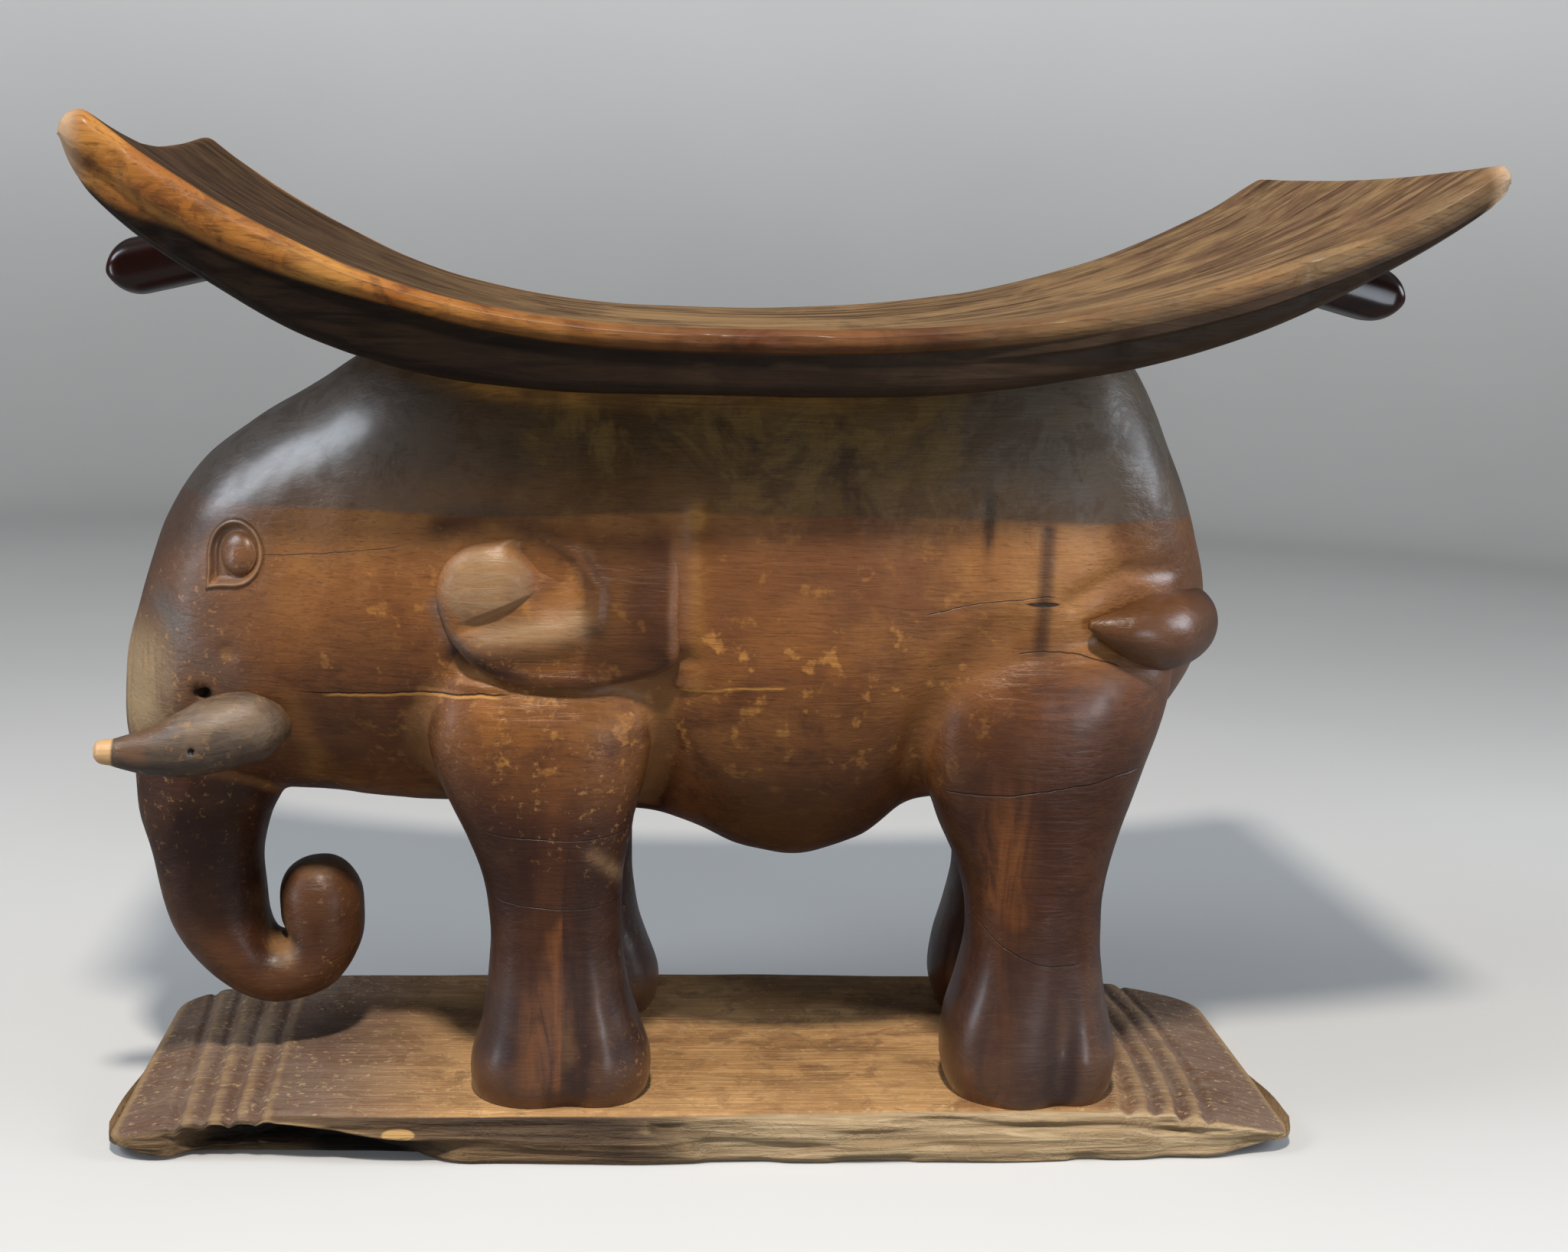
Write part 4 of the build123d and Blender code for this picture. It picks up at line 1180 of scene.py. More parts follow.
def new_group(name, inputs, outputs):
    """An empty node group with named sockets; inputs map a name to a default number, or None for a vector."""
    tree = bpy.data.node_groups.new(name, "ShaderNodeTree")
    for socket, value in inputs.items():
        kind = "NodeSocketVector" if value is None or isinstance(value, tuple) else "NodeSocketFloat"
        made = tree.interface.new_socket(socket, in_out="INPUT", socket_type=kind)
        if value is not None:
            made.default_value = value
    for socket in outputs:
        tree.interface.new_socket(socket, in_out="OUTPUT", socket_type="NodeSocketFloat")
    return tree, tree.nodes.new("NodeGroupInput").outputs, tree.nodes.new("NodeGroupOutput").inputs


def use(group, **inputs):
    """Places a group beside the sockets that it is given, and returns its outputs."""
    made = tree_of(inputs.values()).nodes.new("ShaderNodeGroup")
    made.node_tree = group
    for key, value in inputs.items():
        feed(made.inputs[key], value)
    return made.outputs


print("node helpers are ready")

# %% Fibres, blotches, dust, rubbed ridges and drying cracks
def left_side(axes):
    """1 on the elephant's own left side, 0 from its middle on."""
    return window(axes["Y"], -0.01, -0.03)


def build_fibre():
    """Streaks along the wood: noise on coordinates that are squeezed along the fibre, at two sizes."""
    tree, given, wanted = new_group(
        "wood_fibre", {"Vector": None, "Along": (0.05, 1.0, 1.0), "Size": 260.0, "Wander": 0.6}, ["Fibre", "Pore"])
    squeezed = node(tree, "VectorMath", {"operation": "MULTIPLY"})
    feed(squeezed.inputs[0], given["Vector"])
    feed(squeezed.inputs[1], given["Along"])
    where = squeezed.outputs[0]
    coarse = noise(Vector=where, Scale=given["Size"], Detail=5.0, Roughness=0.62, Distortion=given["Wander"])
    fine = noise(Vector=where, Scale=times(given["Size"], 3.7), Detail=3.0, Roughness=0.55)
    feed(wanted["Fibre"], window(coarse, 0.32, 0.68))
    feed(wanted["Pore"], window(fine, 0.52, 0.72))
    return tree


def build_blotch():
    """Patches of thick and thin patina: broad noise bent by finer noise, and small specks where it has flaked. Seed
    shifts the noise, so that each use has its own patches."""
    tree, given, wanted = new_group(
        "patina_blotch", {"Vector": None, "Size": 14.0, "Edge": 0.12, "Seed": 0.0}, ["Patch", "Cloud", "Speck"])
    shifted = node(tree, "VectorMath", {"operation": "ADD"})
    feed(shifted.inputs[0], given["Vector"])
    feed(shifted.inputs[1], given["Seed"])
    where, size, halfway = shifted.outputs[0], given["Size"], 0.53
    broad = noise(Vector=where, Scale=size, Detail=5.0, Roughness=0.68, Distortion=0.6)
    cloud = noise(Vector=where, Scale=times(size, 0.45), Detail=3.0, Roughness=0.5)
    speck = noise(Vector=where, Scale=times(size, 6.0), Detail=3.0, Roughness=0.7)
    low, high = (sums(way, halfway, given["Edge"]) for way in ("SUBTRACT", "ADD"))
    feed(wanted["Patch"], window(broad, low, high))
    feed(wanted["Cloud"], window(cloud, 0.36, 0.66))
    feed(wanted["Speck"], window(speck, 0.58, 0.68))
    return tree


def build_relief():
    """Turns the relief attribute into dust in hollows and rub on ridges, both broken up by noise."""
    tree, given, wanted = new_group(
        "hollow_and_ridge", {"Vector": None, "Relief": 0.5, "Break": 90.0}, ["Dust", "Rub"])
    crumble = noise(Vector=given["Vector"], Scale=given["Break"], Detail=4.0, Roughness=0.6)
    shifted = sums("ADD", given["Relief"], times(sums("SUBTRACT", crumble, 0.5), 0.16))
    feed(wanted["Dust"], window(shifted, 0.46, 0.25))
    feed(wanted["Rub"], window(shifted, 0.56, 0.80))
    return tree


def build_crack():
    """A hairline in the side view: the distance from a line z = Height + Rise * (x - Start) + Drift, kept between
    Start and End and on the elephant's left side. Sag bends it like a hanging string."""
    tree, given, wanted = new_group("hairline_crack", {
        "Vector": None, "Drift": 0.0, "Height": 0.2, "Rise": 0.0, "Start": 0.0, "End": 0.1, "Width": 0.0006,
        "Sag": 0.0}, ["Line"])
    axes = axes_of(given["Vector"])
    along = sums("SUBTRACT", axes["X"], given["Start"])
    share = sums("DIVIDE", along, sums("SUBTRACT", given["End"], given["Start"]))
    hang = times(share, sums("SUBTRACT", 1.0, share), times(given["Sag"], 4.0))
    line = sums("ADD", sums("MULTIPLY_ADD", along, given["Rise"], given["Height"]), given["Drift"])
    away = sums("ABSOLUTE", sums("SUBTRACT", axes["Z"], sums("SUBTRACT", line, hang)))
    inside = times(window(share, 0.0, 0.06), window(share, 1.0, 0.94))
    feed(wanted["Line"], times(window(away, given["Width"], 0.0), inside, left_side(axes)))
    return tree


def build_spot():
    """A small dark hole or mark in the side view: 1 inside an oval of half sizes Long and High round X, Z, on the
    elephant's left side."""
    tree, given, wanted = new_group(
        "small_hole", {"Vector": None, "X": 0.0, "Z": 0.2, "Long": 0.003, "High": 0.002}, ["Hole"])
    axes = axes_of(given["Vector"])
    squares = []
    for axis, half in (("X", "Long"), ("Z", "High")):
        share = sums("DIVIDE", sums("SUBTRACT", axes[axis], given[axis]), given[half])
        squares.append(times(share, share))
    feed(wanted["Hole"], times(window(sums("ADD", *squares), 1.25, 0.75), left_side(axes)))
    return tree


fibre_group, blotch_group, relief_group = build_fibre(), build_blotch(), build_relief()
crack_group, spot_group = build_crack(), build_spot()
print("node groups:", [group.name for group in bpy.data.node_groups])

# %% [markdown]
# ## The carved wood
#
# Head, body, legs and trunk share one finish that changes from place to place: thick dark wax on trunk and feet, with
# painted shade on the belly, trunk and ear's folds, worn ochre where hands and cloth rub, and under the seat a painted
# shadow of the seat with painted cool grey light over wax gone dull where nobody polishes. The places come from object
# coordinates, in metres from the head's side (x below nought) to the tail's and up from the floor (z), so the finish
# runs on over the cuts between the members. It is laid on as a restorer would, coat after coat: each layer is a share,
# which says where, and a paint.

# %% The elephant's body
def start_material(name, *attributes):
    """A new material: its shader, the object coordinates, and one socket for each attribute."""
    material = bpy.data.materials.new(name)
    material.use_nodes = True
    tree = material.node_tree
    place = tree.nodes.new("ShaderNodeTexCoord").outputs["Object"]
    sockets = [node(tree, "Attribute", {"attribute_name": title}).outputs["Fac"] for title in attributes]
    return material, tree.nodes["Principled BSDF"], place, sockets


def dress(shader, height, strength, distance, inputs):
    """Feeds the shader's named inputs, and a bump made from a height."""
    raised = node(shader.id_data, "Bump", Strength=strength, Distance=distance, Height=height)
    for title, value in {**inputs, "Normal": raised.outputs[0]}.items():
        feed(shader.inputs[title], value)


cracks = [
    # start x, end x, height, rise, sag, width, in metres, on the elephant's left side
    (-0.193, -0.098, 0.2172, 0.048, 0.0, 0.0006),
    (-0.211, -0.146, 0.281, 0.11, 0.001, 0.0003), (-0.110, -0.040, 0.1575, -0.010, 0.003, 0.0004),
    (-0.106, -0.042, 0.1245, -0.030, 0.003, 0.0004), (0.103, 0.197, 0.1775, 0.140, 0.003, 0.0006),
    (0.120, 0.172, 0.117, -0.420, 0.009, 0.0005), (0.134, 0.182, 0.2445, -0.110, -0.003, 0.0005),
    (0.090, 0.150, 0.262, 0.16, -0.002, 0.0004)]
dusty_parts = [(-0.185, -0.100), (-0.022, 0.028)]       # where ochre dust lies in the long flank crack, the first one
holes = [(-0.2400, 0.2140, 0.0042, 0.0024), (0.1440, 0.2680, 0.0075, 0.0011)]      # middle x, z, half length, height


def crack_lines(place, x):
    """The cracks and holes, and the dust that lies just below the long flank crack."""
    drift = noise({"noise_dimensions": "1D"}, W=times(x, 42.0), Scale=1.0, Detail=4.0)
    drift = times(sums("SUBTRACT", drift, 0.5), 0.0035)
    lines = [use(crack_group, Vector=place, Drift=drift, Height=height, Rise=rise, Start=start, End=end, Width=width,
                 Sag=sag)["Line"] for start, end, height, rise, sag, width in cracks]
    lines += [use(spot_group, Vector=place, X=spot_x, Z=spot_z, Long=half_long, High=half_high)["Hole"]
              for spot_x, spot_z, half_long, half_high in holes]
    long_start, _, long_height, long_rise, _, _ = cracks[0]
    dusty = [use(crack_group, Vector=place, Drift=drift, Height=long_height - 0.001 + long_rise * (start - long_start),
                 Rise=long_rise, Start=start, End=end, Width=0.0011)["Line"] for start, end in dusty_parts]
    return greatest(lines), greatest(dusty)


def carved_wood():
    """Brown wood under wax and dust, with painted shade and painted cool light in places, changing with height and from
    head to tail.
    """
    material, shader, place, (relief, pale, ochre, wax_and_shade_marks, painted_sheen, polish) = start_material(
        "carved_wood", "relief", "pale", "ochre", "dark", "painted_sheen", "polish")
    axes = axes_of(place)
    x, z = axes["X"], axes["Z"]
    fibre = use(fibre_group, Vector=place, Along=(0.10, 1.0, 1.0), Size=330.0, Wander=0.7)
    upright = use(fibre_group, Vector=place, Along=(1.0, 1.0, 0.08), Size=110.0, Wander=0.8)
    large = use(blotch_group, Vector=place, Size=12.0, Edge=0.08, Seed=2.0)
    small = use(blotch_group, Vector=place, Size=42.0, Edge=0.05, Seed=7.0)
    soot = use(blotch_group, Vector=place, Size=20.0, Edge=0.07, Seed=12.0)
    mottle = use(blotch_group, Vector=place, Size=34.0, Edge=0.30, Seed=21.0)
    worn = use(relief_group, Vector=place, Relief=relief, Break=110.0)
    lines, dusty = crack_lines(place, x)

    # the upper flank is worn evenly to a warm brown, the lower one loses its patina in patches and flakes
    behind_face = window(x, -0.25, -0.12)
    band = times(behind_face, window(z, 0.220, 0.258), window(x, 0.23, 0.15, 0.3, 1.0))
    low = times(behind_face, window(z, 0.145, 0.200), window(z, 0.290, 0.235, 0.3, 1.0), window(x, 0.16, 0.09))
    bare = sums("MAXIMUM", large["Patch"], window(small["Cloud"], 0.35, 0.95, 0.0, 0.8))
    flake = times(large["Speck"], low, window(fibre["Fibre"], 0.0, 1.0, 0.45, 0.85))
    # dark wax, and painted shade on the belly, trunk and ear's folds, where the marks say, and dark wax in broken
    # clouds
    wax_and_shade = sums("MAXIMUM", times(wax_and_shade_marks, window(soot["Cloud"], 0.0, 1.0, 0.72, 1.0)),
               times(soot["Patch"], window(z, 0.255, 0.165, 0.04, 0.62)))
    # a warm streak down the middle of each leg
    front, hind = (sums("ABSOLUTE", sums("ADD", x, shift)) for shift in (0.079, -0.133))
    streak = times(window(sums("MINIMUM", front, hind), 0.018, 0.004), window(z, 0.205, 0.150), upright["Fibre"],
                   window(small["Cloud"], 0.25, 0.80, 0.20, 0.95))
    # the head's front is greyed, and brushed bare beside the trunk
    greyed = times(window(x, -0.195, -0.250, 0.0, 0.60), window(z, 0.165, 0.215))
    brow = times(window(x, -0.244, -0.270), window(z, 0.255, 0.225), window(z, 0.176, 0.200),
                 window(sums("ADD", small["Cloud"], upright["Fibre"]), 0.3, 1.4, 0.25, 1.0))
    # under the seat a painted shadow of the seat begins above a sharp line, over wax gone dull where nobody polishes:
    # painted cool grey light towards both ends, with an olive middle
    edge = sums("ADD", z, times(large["Cloud"], 0.004))
    seat_shadow_and_dull_wax = sums("ADD", window(edge, 0.3050, 0.3080, 0.0, 0.62), window(edge, 0.308, 0.340, 0.0, 0.22))
    olive = times(soot["Patch"], window(x, -0.16, -0.08), window(x, 0.16, 0.06, 0.2, 1.0), 0.85)
    shade_and_bloom = over(mix(window(x, -0.20, -0.05), tint(86, 82, 76), tint(52, 42, 26)),
                 (window(x, 0.06, 0.16), tint(84, 82, 74)),
                 (olive, tint(104, 84, 44)),
                 (times(small["Patch"], 0.5), tint(40, 31, 20)))
    fleck = times(small["Speck"], window(large["Cloud"], 0.2, 1.0, 0.0, 0.45), window(z, 0.31, 0.27))

    colour = over(
        mix(fibre["Fibre"], tint(70, 38, 21), tint(106, 65, 38)),
        (times(large["Cloud"], 0.6), tint(132, 84, 46)),
        (times(small["Patch"], window(z, 0.230, 0.275, 0.5, 0.15)), tint(60, 32, 19)),
        (times(band, window(small["Cloud"], 0.15, 0.85, 0.35, 0.90)), tint(154, 104, 56)),
        (times(band, large["Patch"], 0.35), tint(184, 134, 78)),
        (times(bare, low, 0.5), tint(160, 104, 52)),
        # reddish clouds all over, stronger towards the feet
        (times(window(soot["Cloud"], 0.30, 0.72), window(z, 0.300, 0.235, 0.30, 0.68)), tint(92, 50, 26)),
        (times(mottle["Cloud"], low, 0.5), tint(78, 42, 22)),
        (times(mottle["Patch"], window(z, 0.300, 0.230, 0.42, 0.65)), mix(low, tint(108, 62, 32), tint(148, 94, 44))),
        (flake, tint(180, 124, 62)),
        (times(fibre["Pore"], 0.40), tint(58, 32, 18)),
        # dark wax, with painted shade on the belly, the trunk and the ear's folds
        (wax_and_shade, tint(44, 20, 10)),
        (streak, tint(112, 66, 32)),
        (greyed, tint(78, 66, 58)),
        # painted cool sheen where the side lights reflect
        (times(painted_sheen, window(small["Cloud"], 0.2, 0.9, 0.25, 0.75)), tint(86, 80, 76)),
        (brow, tint(150, 126, 94)),
        # painted shadow of the seat, with painted cool grey light, over the dull wax
        (seat_shadow_and_dull_wax, shade_and_bloom),
        # handled, dusty and rubbed places
        (times(ochre, window(small["Cloud"], 0.15, 0.85, 0.30, 1.0)),
         mix(fibre["Fibre"], tint(140, 92, 42), tint(182, 130, 62))),
        (times(pale, window(fibre["Fibre"], 0.0, 1.0, 0.62, 0.95)),
         mix(small["Cloud"], tint(122, 92, 64), tint(148, 119, 88))),
        (times(worn["Rub"], 0.30), tint(124, 84, 54)),
        (times(worn["Dust"], window(x, -0.02, 0.04, 0.45, 0.15)), tint(140, 98, 56)),
        (fleck, tint(176, 128, 76)),
        (times(dusty, 0.7), tint(190, 138, 64)),
        (times(lines, 0.9), tint(20, 11, 7)))
    shine = sums("ADD", window(soot["Cloud"], 0.0, 1.0, 0.34, 0.46), times(worn["Dust"], 0.3))
    shine = sums("ADD", shine, times(small["Patch"], 0.10), clamp=True)
    dent = noise(Vector=place, Scale=120.0, Detail=3.0, Roughness=0.6)
    height = sums("SUBTRACT", sums("ADD", times(fibre["Fibre"], 0.28), dent), times(lines, 1.4))
    dress(shader, height, 0.5, 0.0010, {
        "Base Color": colour, "Roughness": shine, "Specular IOR Level": 0.26,
        "Coat Weight": window(polish, 0.0, 1.0, 0.08, 0.80), "Coat Roughness": 0.28})
    return material


body_wood = carved_wood()
print("body:", len(body_wood.node_tree.nodes), "nodes")

# %% [markdown]
# ## Tusks, seat and base
#
# The same groups, with other values. The seat needs to know its lips from its top, which its shape says: a lip lies
# close to the side and close below the rim. The seat's sides carry painted shade under the lips, and the tusks painted
# light on top and painted shade beneath. The base is bare and dusty, and painted dark with shade in the hollow where it
# has rotted.

# %% Their three finishes
def tusk_wood():
    """Greyed wood with a pale, handled tip, painted lighter on top and darker along its underside as light and shade
    fall on it.
    """
    material, shader, place, (relief,) = start_material("tusk_wood", "relief")
    axes = axes_of(place)
    x, z = axes["X"], axes["Z"]
    fibre = use(fibre_group, Vector=place, Along=(0.16, 1.0, 1.0), Size=260.0, Wander=0.6)
    blotch = use(blotch_group, Vector=place, Size=40.0, Edge=0.10, Seed=3.0)
    worn = use(relief_group, Vector=place, Relief=relief, Break=160.0)
    pin = use(spot_group, Vector=place, X=tusk_pin[0] * mm, Z=tusk_pin[1] * mm, Long=0.0016, High=0.0016)["Hole"]
    colour = over(
        mix(fibre["Fibre"], tint(64, 51, 41), tint(100, 82, 64)),
        # painted light along the top and painted shade along the underside
        (times(blotch["Cloud"], window(z, 0.186, 0.202), 0.5), tint(120, 97, 73)),
        (times(blotch["Patch"], 0.5), tint(50, 38, 33)),
        (window(sums("ADD", z, times(blotch["Cloud"], 0.006)), 0.194, 0.182, 0.0, 0.7), tint(40, 29, 25)),
        (times(blotch["Speck"], 0.45), tint(150, 108, 66)),
        (window(blotch["Cloud"], 0.55, 0.30, 0.0, 0.5), tint(104, 72, 46)),
        (times(worn["Dust"], 0.5), tint(140, 96, 56)),
        (window(sums("ADD", x, times(blotch["Cloud"], 0.0015)), -0.2750, -0.2768), tint(190, 150, 104)),
        (pin, tint(24, 14, 10)))
    dress(shader, fibre["Fibre"], 0.3, 0.0005, {
        "Base Color": colour, "Roughness": window(blotch["Cloud"], 0.0, 1.0, 0.36, 0.5)})
    return material


def seat_wood():
    """Polished lips over dark sides with painted shade under them, a dry, greyed top, and lugs that hands have
    blackened.
    """
    material, shader, place, (relief, lip, top, handled) = start_material(
        "seat_wood", "relief", "lip", "top", "handled")
    axes = axes_of(place)
    x, aside = axes["X"], sums("ABSOLUTE", axes["Y"])
    fibre = use(fibre_group, Vector=place, Along=(0.05, 1.0, 0.5), Size=360.0, Wander=0.5)
    streak = use(fibre_group, Vector=place, Along=(0.05, 1.0, 0.4), Size=85.0, Wander=1.1)
    blotch = use(blotch_group, Vector=place, Size=14.0, Edge=0.08, Seed=5.0)
    fine = use(blotch_group, Vector=place, Size=52.0, Edge=0.06, Seed=9.0)
    worn = use(relief_group, Vector=place, Relief=relief, Break=120.0)
    # sides and underside: dark wood with painted shade under the lip, nearly black towards the head, brown towards the
    # tail
    side = over(
        mix(window(x, -0.20, 0.20), tint(14, 7, 4), tint(50, 37, 26)),
        (times(fibre["Fibre"], window(x, -0.20, 0.20, 0.2, 0.45)), tint(76, 56, 39)),
        (times(blotch["Patch"], 0.5), tint(30, 18, 12)))
    # lips: golden at the head, red brown in the middle, grey brown at the tail
    gold = window(x, 0.04, -0.14, 0.12, 0.75)
    rim = over(
        mix(window(x, -0.16, 0.00), tint(132, 80, 34), tint(66, 36, 22)),
        (window(x, 0.04, 0.20), mix(streak["Fibre"], tint(84, 65, 45), tint(122, 99, 71))),
        (times(fine["Patch"], window(x, 0.02, 0.14, 0.75, 0.20)), tint(74, 38, 20)),
        (times(blotch["Patch"], 0.25), tint(140, 96, 58)),
        (times(fine["Cloud"], streak["Fibre"], gold), tint(182, 130, 64)),
        (times(fibre["Pore"], 0.5), tint(60, 30, 16)))
    # top: greyed tan with dark streaks, brown at the head
    dry = over(
        mix(streak["Fibre"], tint(66, 47, 32), tint(138, 112, 80)),
        (times(fibre["Fibre"], 0.45), tint(64, 45, 32)),
        (times(blotch["Patch"], 0.40), tint(150, 120, 82)),
        (times(fine["Patch"], window(x, 0.10, 0.28, 0.0, 0.5)), tint(96, 66, 54)),
        (window(x, -0.02, -0.22, 0.0, 0.85), mix(streak["Fibre"], tint(34, 21, 13), tint(62, 43, 29))))
    tips = sums("MAXIMUM", window(x, -0.266, -0.277), window(x, 0.314, 0.322))
    colour = over(
        side, (top, dry), (lip, rim),
        (times(tips, window(fine["Cloud"], 0.1, 0.9, 0.3, 0.7)),
         mix(fibre["Fibre"], tint(84, 54, 33), tint(140, 98, 60))),
        (times(tips, window(aside, 0.124, 0.142, 0.0, 0.6)), tint(186, 160, 130)),
        (times(worn["Dust"], 0.3, top), tint(110, 84, 56)),
        (handled, mix(fine["Cloud"], tint(22, 8, 4), tint(50, 18, 8))))
    shine = sums("ADD", window(fine["Cloud"], 0.0, 1.0, 0.40, 0.50), times(top, 0.16))
    shine = sums("SUBTRACT", shine, times(handled, 0.20))
    height = sums("ADD", times(streak["Fibre"], top), times(fibre["Fibre"], 0.4))
    dress(shader, times(height, sums("SUBTRACT", 1.0, handled)), 0.45, 0.0009, {
        "Base Color": colour, "Roughness": shine, "Specular IOR Level": 0.13,
        "Coat Weight": sums("MULTIPLY_ADD", handled, 0.5, times(lip, 0.08)), "Coat Roughness": 0.22})
    return material


def base_wood():
    """Dusty, trodden wood: tan over brown, nearly black with painted shade in the rotted hollow, pale where it has
    split.
    """
    material, shader, place, (relief, side, hollow_shade, line) = start_material("base_wood", "relief", "side", "hollow_shade", "line")
    x = axes_of(place)["X"]
    fibre = use(fibre_group, Vector=place, Along=(0.06, 1.0, 1.0), Size=300.0, Wander=0.7)
    streak = use(fibre_group, Vector=place, Along=(0.10, 1.0, 1.6), Size=60.0, Wander=1.2)
    blotch = use(blotch_group, Vector=place, Size=14.0, Edge=0.09, Seed=4.0)
    fine = use(blotch_group, Vector=place, Size=46.0, Edge=0.06, Seed=8.0)
    worn = use(relief_group, Vector=place, Relief=relief, Break=80.0)
    knot = use(spot_group, Vector=place, X=-0.1470, Z=0.0150, Long=0.0075, High=0.0026)["Hole"]
    ends = sums("MAXIMUM", window(x, -0.10, -0.20), window(x, 0.17, 0.22))
    # the sides: dark, splintered fibres near the head, pale fresh wood near the tail
    fresh = window(sums("ADD", x, times(blotch["Cloud"], 0.08)), 0.00, 0.10, 0.0, 0.85)
    riven = mix(fresh, mix(streak["Fibre"], tint(58, 42, 28), tint(118, 92, 64)),
                mix(fibre["Fibre"], tint(140, 116, 84), tint(182, 158, 122)))
    colour = over(
        mix(ends, tint(190, 148, 98), tint(120, 98, 82)),
        (times(fibre["Fibre"], 0.6), mix(ends, tint(146, 104, 62), tint(98, 78, 66))),
        (times(blotch["Patch"], 0.6), mix(ends, tint(128, 88, 50), tint(92, 66, 54))),
        (times(fine["Patch"], window(streak["Fibre"], 0.0, 1.0, 0.2, 0.6)), tint(98, 68, 46)),
        (times(fine["Speck"], 0.55), tint(192, 164, 120)),
        (side, riven),
        (times(line, 0.95), tint(190, 160, 120)),
        (times(worn["Dust"], 0.55), tint(164, 134, 94)),
        # painted shade inside the rotted hollow
        (hollow_shade, mix(streak["Fibre"], tint(14, 10, 7), tint(44, 32, 22))),
        (times(knot, 0.9), tint(186, 146, 92)))
    height = sums("ADD", fibre["Fibre"], times(fine["Patch"], -0.6))
    dress(shader, height, 0.6, 0.0012, {
        "Base Color": colour, "Roughness": window(fine["Cloud"], 0.0, 1.0, 0.62, 0.82), "Specular IOR Level": 0.30})
    return material


finishes = {"body_wood": body_wood, "tusk_wood": tusk_wood(), "seat_wood": seat_wood(), "base_wood": base_wood()}
print("materials:", [material.name for material in finishes.values()])

# %% Which places are lip, top, side, shaded hollow and scored line
seat_points = places(seat)
to_side = seat_half - np.abs(seat_points[:, 1])
end = tail_end - tail_slant * seat_points[:, 1] / seat_half
to_head, to_tail = seat_shares(seat_points[:, 0], end)
rim = rim_height(to_head, to_tail)
below_rim = rim - seat_points[:, 2]
lip_height = lip_depth(to_head, to_tail) * (1 + 0.5 * ease(to_head, 0.80, 0.97))
at_side = fade(to_side, 7, 13)
mark(seat, "lip", at_side * fade(below_rim, 0.9 * lip_height, 1.15 * lip_height))
mark(seat, "top", ease(normals(seat)[:, 2], 0.2, 0.6))
mark(seat, "handled", np.zeros(len(to_side)))
for lug in lugs.values():
    for title in ("lip", "top", "handled"):
        mark(lug, title, np.full(len(lug.data.vertices), float(title == "handled")))

x, y, z = places(base).T
facing = np.abs(normals(base)[:, 1])
reach = base_reach(x)
mark(base, "side", ease(facing, 0.3, 0.65) * ease(np.abs(y), reach - 40, reach - 26))
ledge_foot = 14.5 - 5 * ease(x, -215, -135)
# the rotted hollow, painted dark with its shade, less on the low step at its foot
shaded_hollow = ease(x, -252, -228) * fade(x, -150, -118) * fade(z, ledge_foot, 18) * (y < 0)
step_left = fade(z, 3, 6) * fade(x, -205, -180)
mark(base, "hollow_shade", shaded_hollow * (1 - 0.6 * step_left))
mark(base, "line", np.clip(1.4 * scored(x, y, 2.8), 0, 1) * ease(normals(base)[:, 2], 0.5, 0.8))
print("lip share of the seat's points:", round(float(at_side.mean()), 2))

# %% [markdown]
# ## Putting it together
#
# Every piece rides on the model's one body, takes the place of its node and names the wood that it is finished in.

# %% Ride, replace and dress
slots = {"seat": "seat_wood", "head_end_lug": "seat_wood", "tail_end_lug": "seat_wood", "base_plinth": "base_wood",
         "left_tusk": "tusk_wood", "right_tusk": "tusk_wood"}
for name, piece in pieces.items():
    slot_name = slots.get(name, "body_wood")
    piece.data.materials.clear()
    piece.data.materials.append(finishes[slot_name])
    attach(piece, "root")
    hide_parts(name)
print("dressed", len(pieces), "pieces")

# %% [markdown]
# ## The studio
#
# A pale round floor curves up into its own wall, like the cove of a studio, so no horizon shows from any side. One
# small lamp stands above and in front and throws the seat's shadow on the flank. Two cooler ones fill the sides, and
# two upright strips stand low, to draw the highlights down the feet that show how polished they are.

# %% Floor, lamps and camera
def make_cove(radius=2.3, height=3.2, reach=1.5):
    """Rings round the middle: level out to radius, then a quarter ellipse up: r = R + a sin t, z = h (1 - cos t)."""
    flat_part = np.linspace(0.02, radius, 30)
    turn = np.linspace(0, np.pi / 2, 40)[1:]
    r = np.concatenate([flat_part, radius + reach * np.sin(turn)]) / mm
    z = np.concatenate([0 * flat_part, height * (1 - np.cos(turn))]) / mm
    angle = full_turn(128)
    rings = np.stack([r[:, None] * np.cos(angle), r[:, None] * np.sin(angle), z[:, None] + 0 * angle], -1)
    cove = skin("studio_floor", rings)
    shell = opened(cove.data)
    shell.verts.ensure_lookup_table()
    top_z = shell.verts[-1].co.z
    lid = [face for face in shell.faces if face.calc_center_median().z > top_z - mm and len(face.verts) == 3]
    bmesh.ops.delete(shell, geom=lid, context="FACES_ONLY")
    closed(shell, cove.data)
    return cove


def floor_paint():
    """Pale to the camera; greyer to the light that it sends back, so that the undersides stay dark."""
    material, shader, place, _ = start_material("studio_floor")
    cloud = noise(Vector=place, Scale=1.4, Detail=3.0, Roughness=0.5)
    pale = mix(window(cloud, 0.3, 0.7), (0.50, 0.495, 0.485, 1), (0.54, 0.535, 0.525, 1))
    seen = node(shader.id_data, "LightPath").outputs["Is Camera Ray"]
    glow = times(seen, window(axes_of(place)["Z"], 0.0, 1.2, 0.02, 0.36))
    for title, value in {"Base Color": mix(seen, (0.20, 0.20, 0.20, 1), pale), "Roughness": 0.9,
                         "Emission Color": (0.97, 0.98, 1.0, 1), "Emission Strength": glow}.items():
        feed(shader.inputs[title], value)
    return material


cove = make_cove()
cove.data.materials.append(floor_paint())


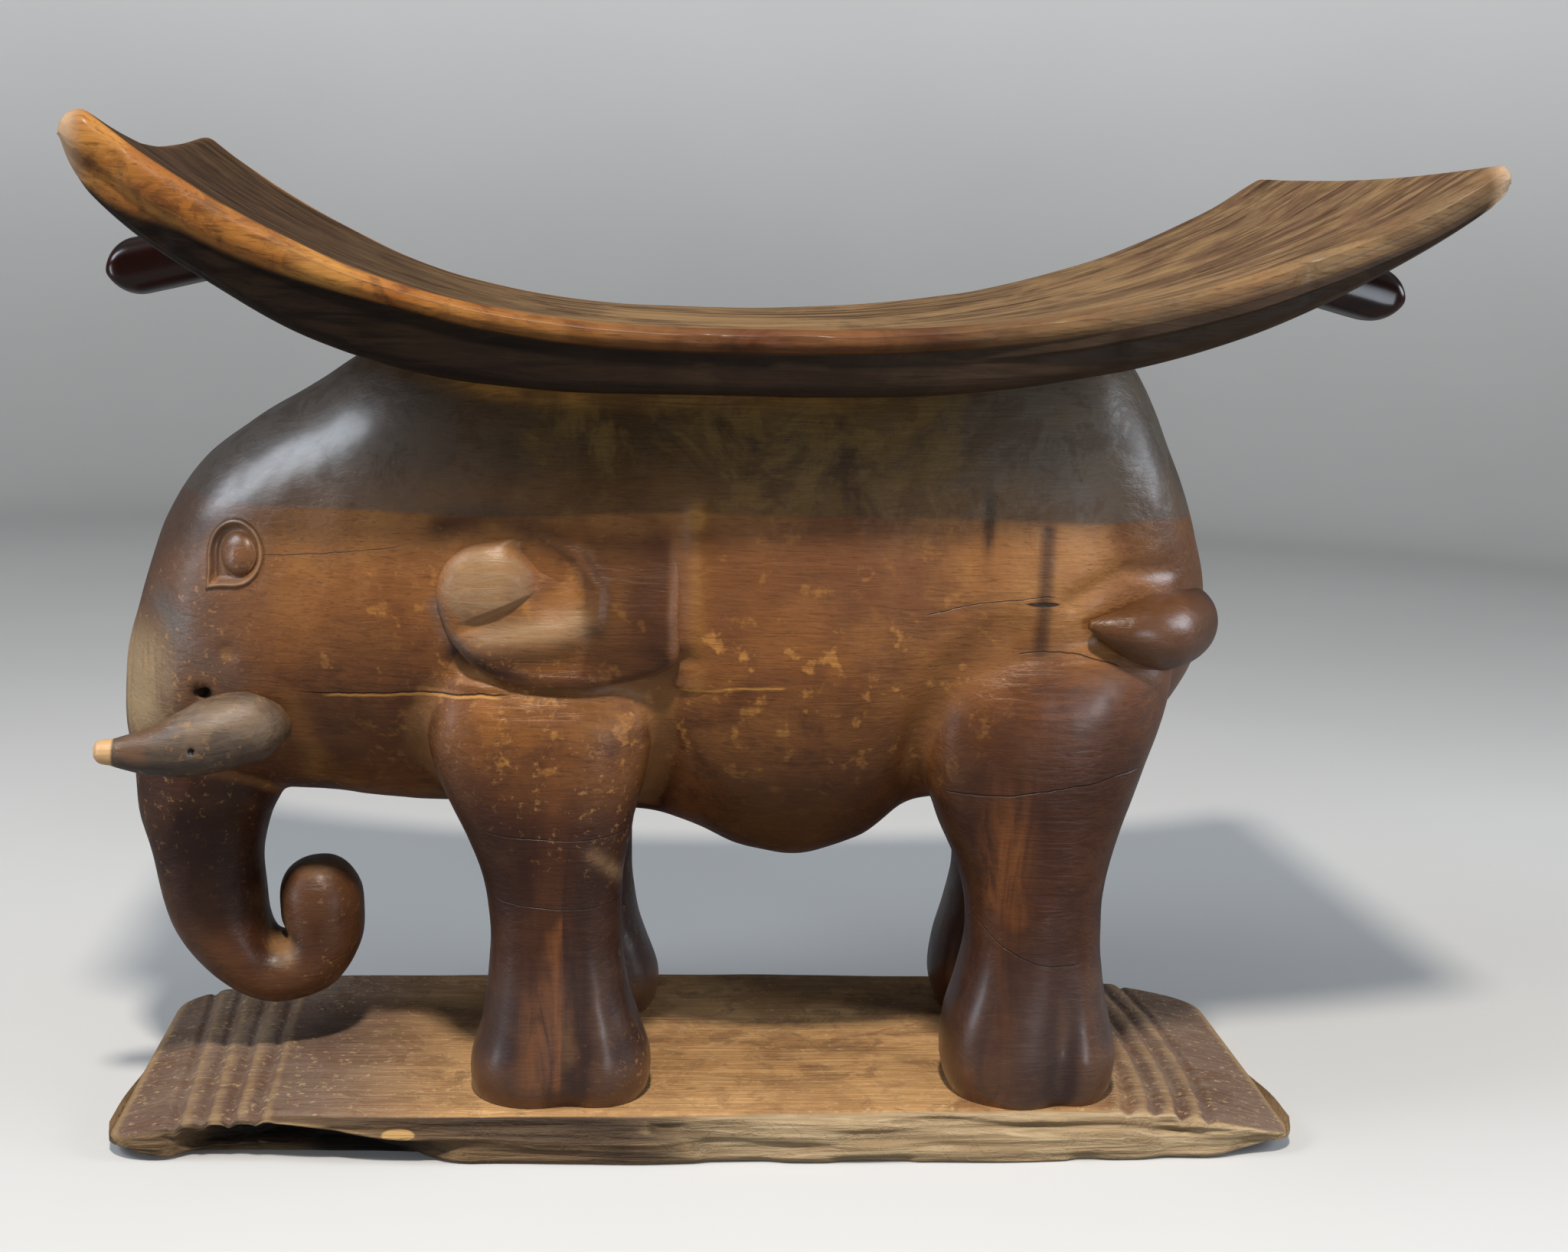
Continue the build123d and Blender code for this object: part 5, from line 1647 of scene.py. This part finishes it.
def unit(arrow):
    """The same direction, one long."""
    return arrow / np.linalg.norm(arrow)


def stand(name, data, spot, right, above, back):
    """Puts a lamp or a camera at a spot; it looks away from back."""
    holder = add_object(name, data)
    turn = Matrix((right, above, back)).transposed().to_4x4()
    turn.translation = spot
    holder.matrix_world = turn
    return holder


def lamp(name, spot, aim, size, watts, colour, tall=None):
    """An area lamp at a spot, facing the point that it is aimed at: a round one, or an upright strip."""
    light = bpy.data.lights.new(name, "AREA")
    light.shape = "RECTANGLE" if tall else "DISK"
    light.size = size
    if tall:
        light.size_y = tall
    light.energy = watts
    light.color = colour
    back = unit(np.array(spot) - np.array(aim))
    right = unit(np.cross([0, 0, 1.0], back))
    stand(name, light, spot, right, np.cross(back, right), back).visible_camera = False


middle_of_stool = (0.02, 0.0, 0.22)
front_foot, hind_foot = (-0.08, -0.09, 0.06), (0.15, -0.09, 0.06)
warm, cool = (1.0, 0.93, 0.84), (0.82, 0.90, 1.0)
lamp("key", (-0.10, -1.05, 1.86), middle_of_stool, 0.17, 44, warm)
lamp("fill_head", (-1.75, -0.48, 1.66), middle_of_stool, 1.0, 30, cool)
lamp("fill_tail", (1.90, -0.35, 0.95), middle_of_stool, 1.0, 26, cool)
lamp("strip_head", (-1.42, -0.57, 0.24), front_foot, 0.26, 4.4, cool, tall=0.46)
lamp("strip_tail", (0.72, -1.28, 0.24), hind_foot, 0.26, 4.2, cool, tall=0.46)
world = bpy.data.worlds.new("studio_air")
world.use_nodes = True
air = world.node_tree.nodes["Background"].inputs
feed(air["Color"], (0.90, 0.95, 1.0, 1))
feed(air["Strength"], 0.25)
bpy.context.scene.world = world
bpy.context.scene.view_settings.view_transform = "Standard"


def make_camera():
    """A 50 mm lens about 0.9 m before the seat, a little above it, turned and rolled as the view asks."""
    spot = (-0.055, -1.063, 0.4305)
    pitch, yaw, roll = (math.radians(value) for value in (10.15, 4.741, 1.8))
    ahead = np.array([math.sin(yaw) * math.cos(pitch), math.cos(yaw) * math.cos(pitch), -math.sin(pitch)])
    level = np.array([math.cos(yaw), -math.sin(yaw), 0.0])
    rise = np.cross(level, ahead)
    right = level * math.cos(roll) + rise * math.sin(roll)
    above = rise * math.cos(roll) - level * math.sin(roll)
    data = bpy.data.cameras.new("view")
    data.sensor_fit = "HORIZONTAL"
    data.sensor_width = 36.0
    data.lens = 50.1
    camera = stand("view", data, spot, right, above, -ahead)
    bpy.context.scene.camera = camera
    return camera


print("camera at", [round(value, 3) for value in make_camera().matrix_world.translation])

# %% Finish
bpy.context.view_layer.update()
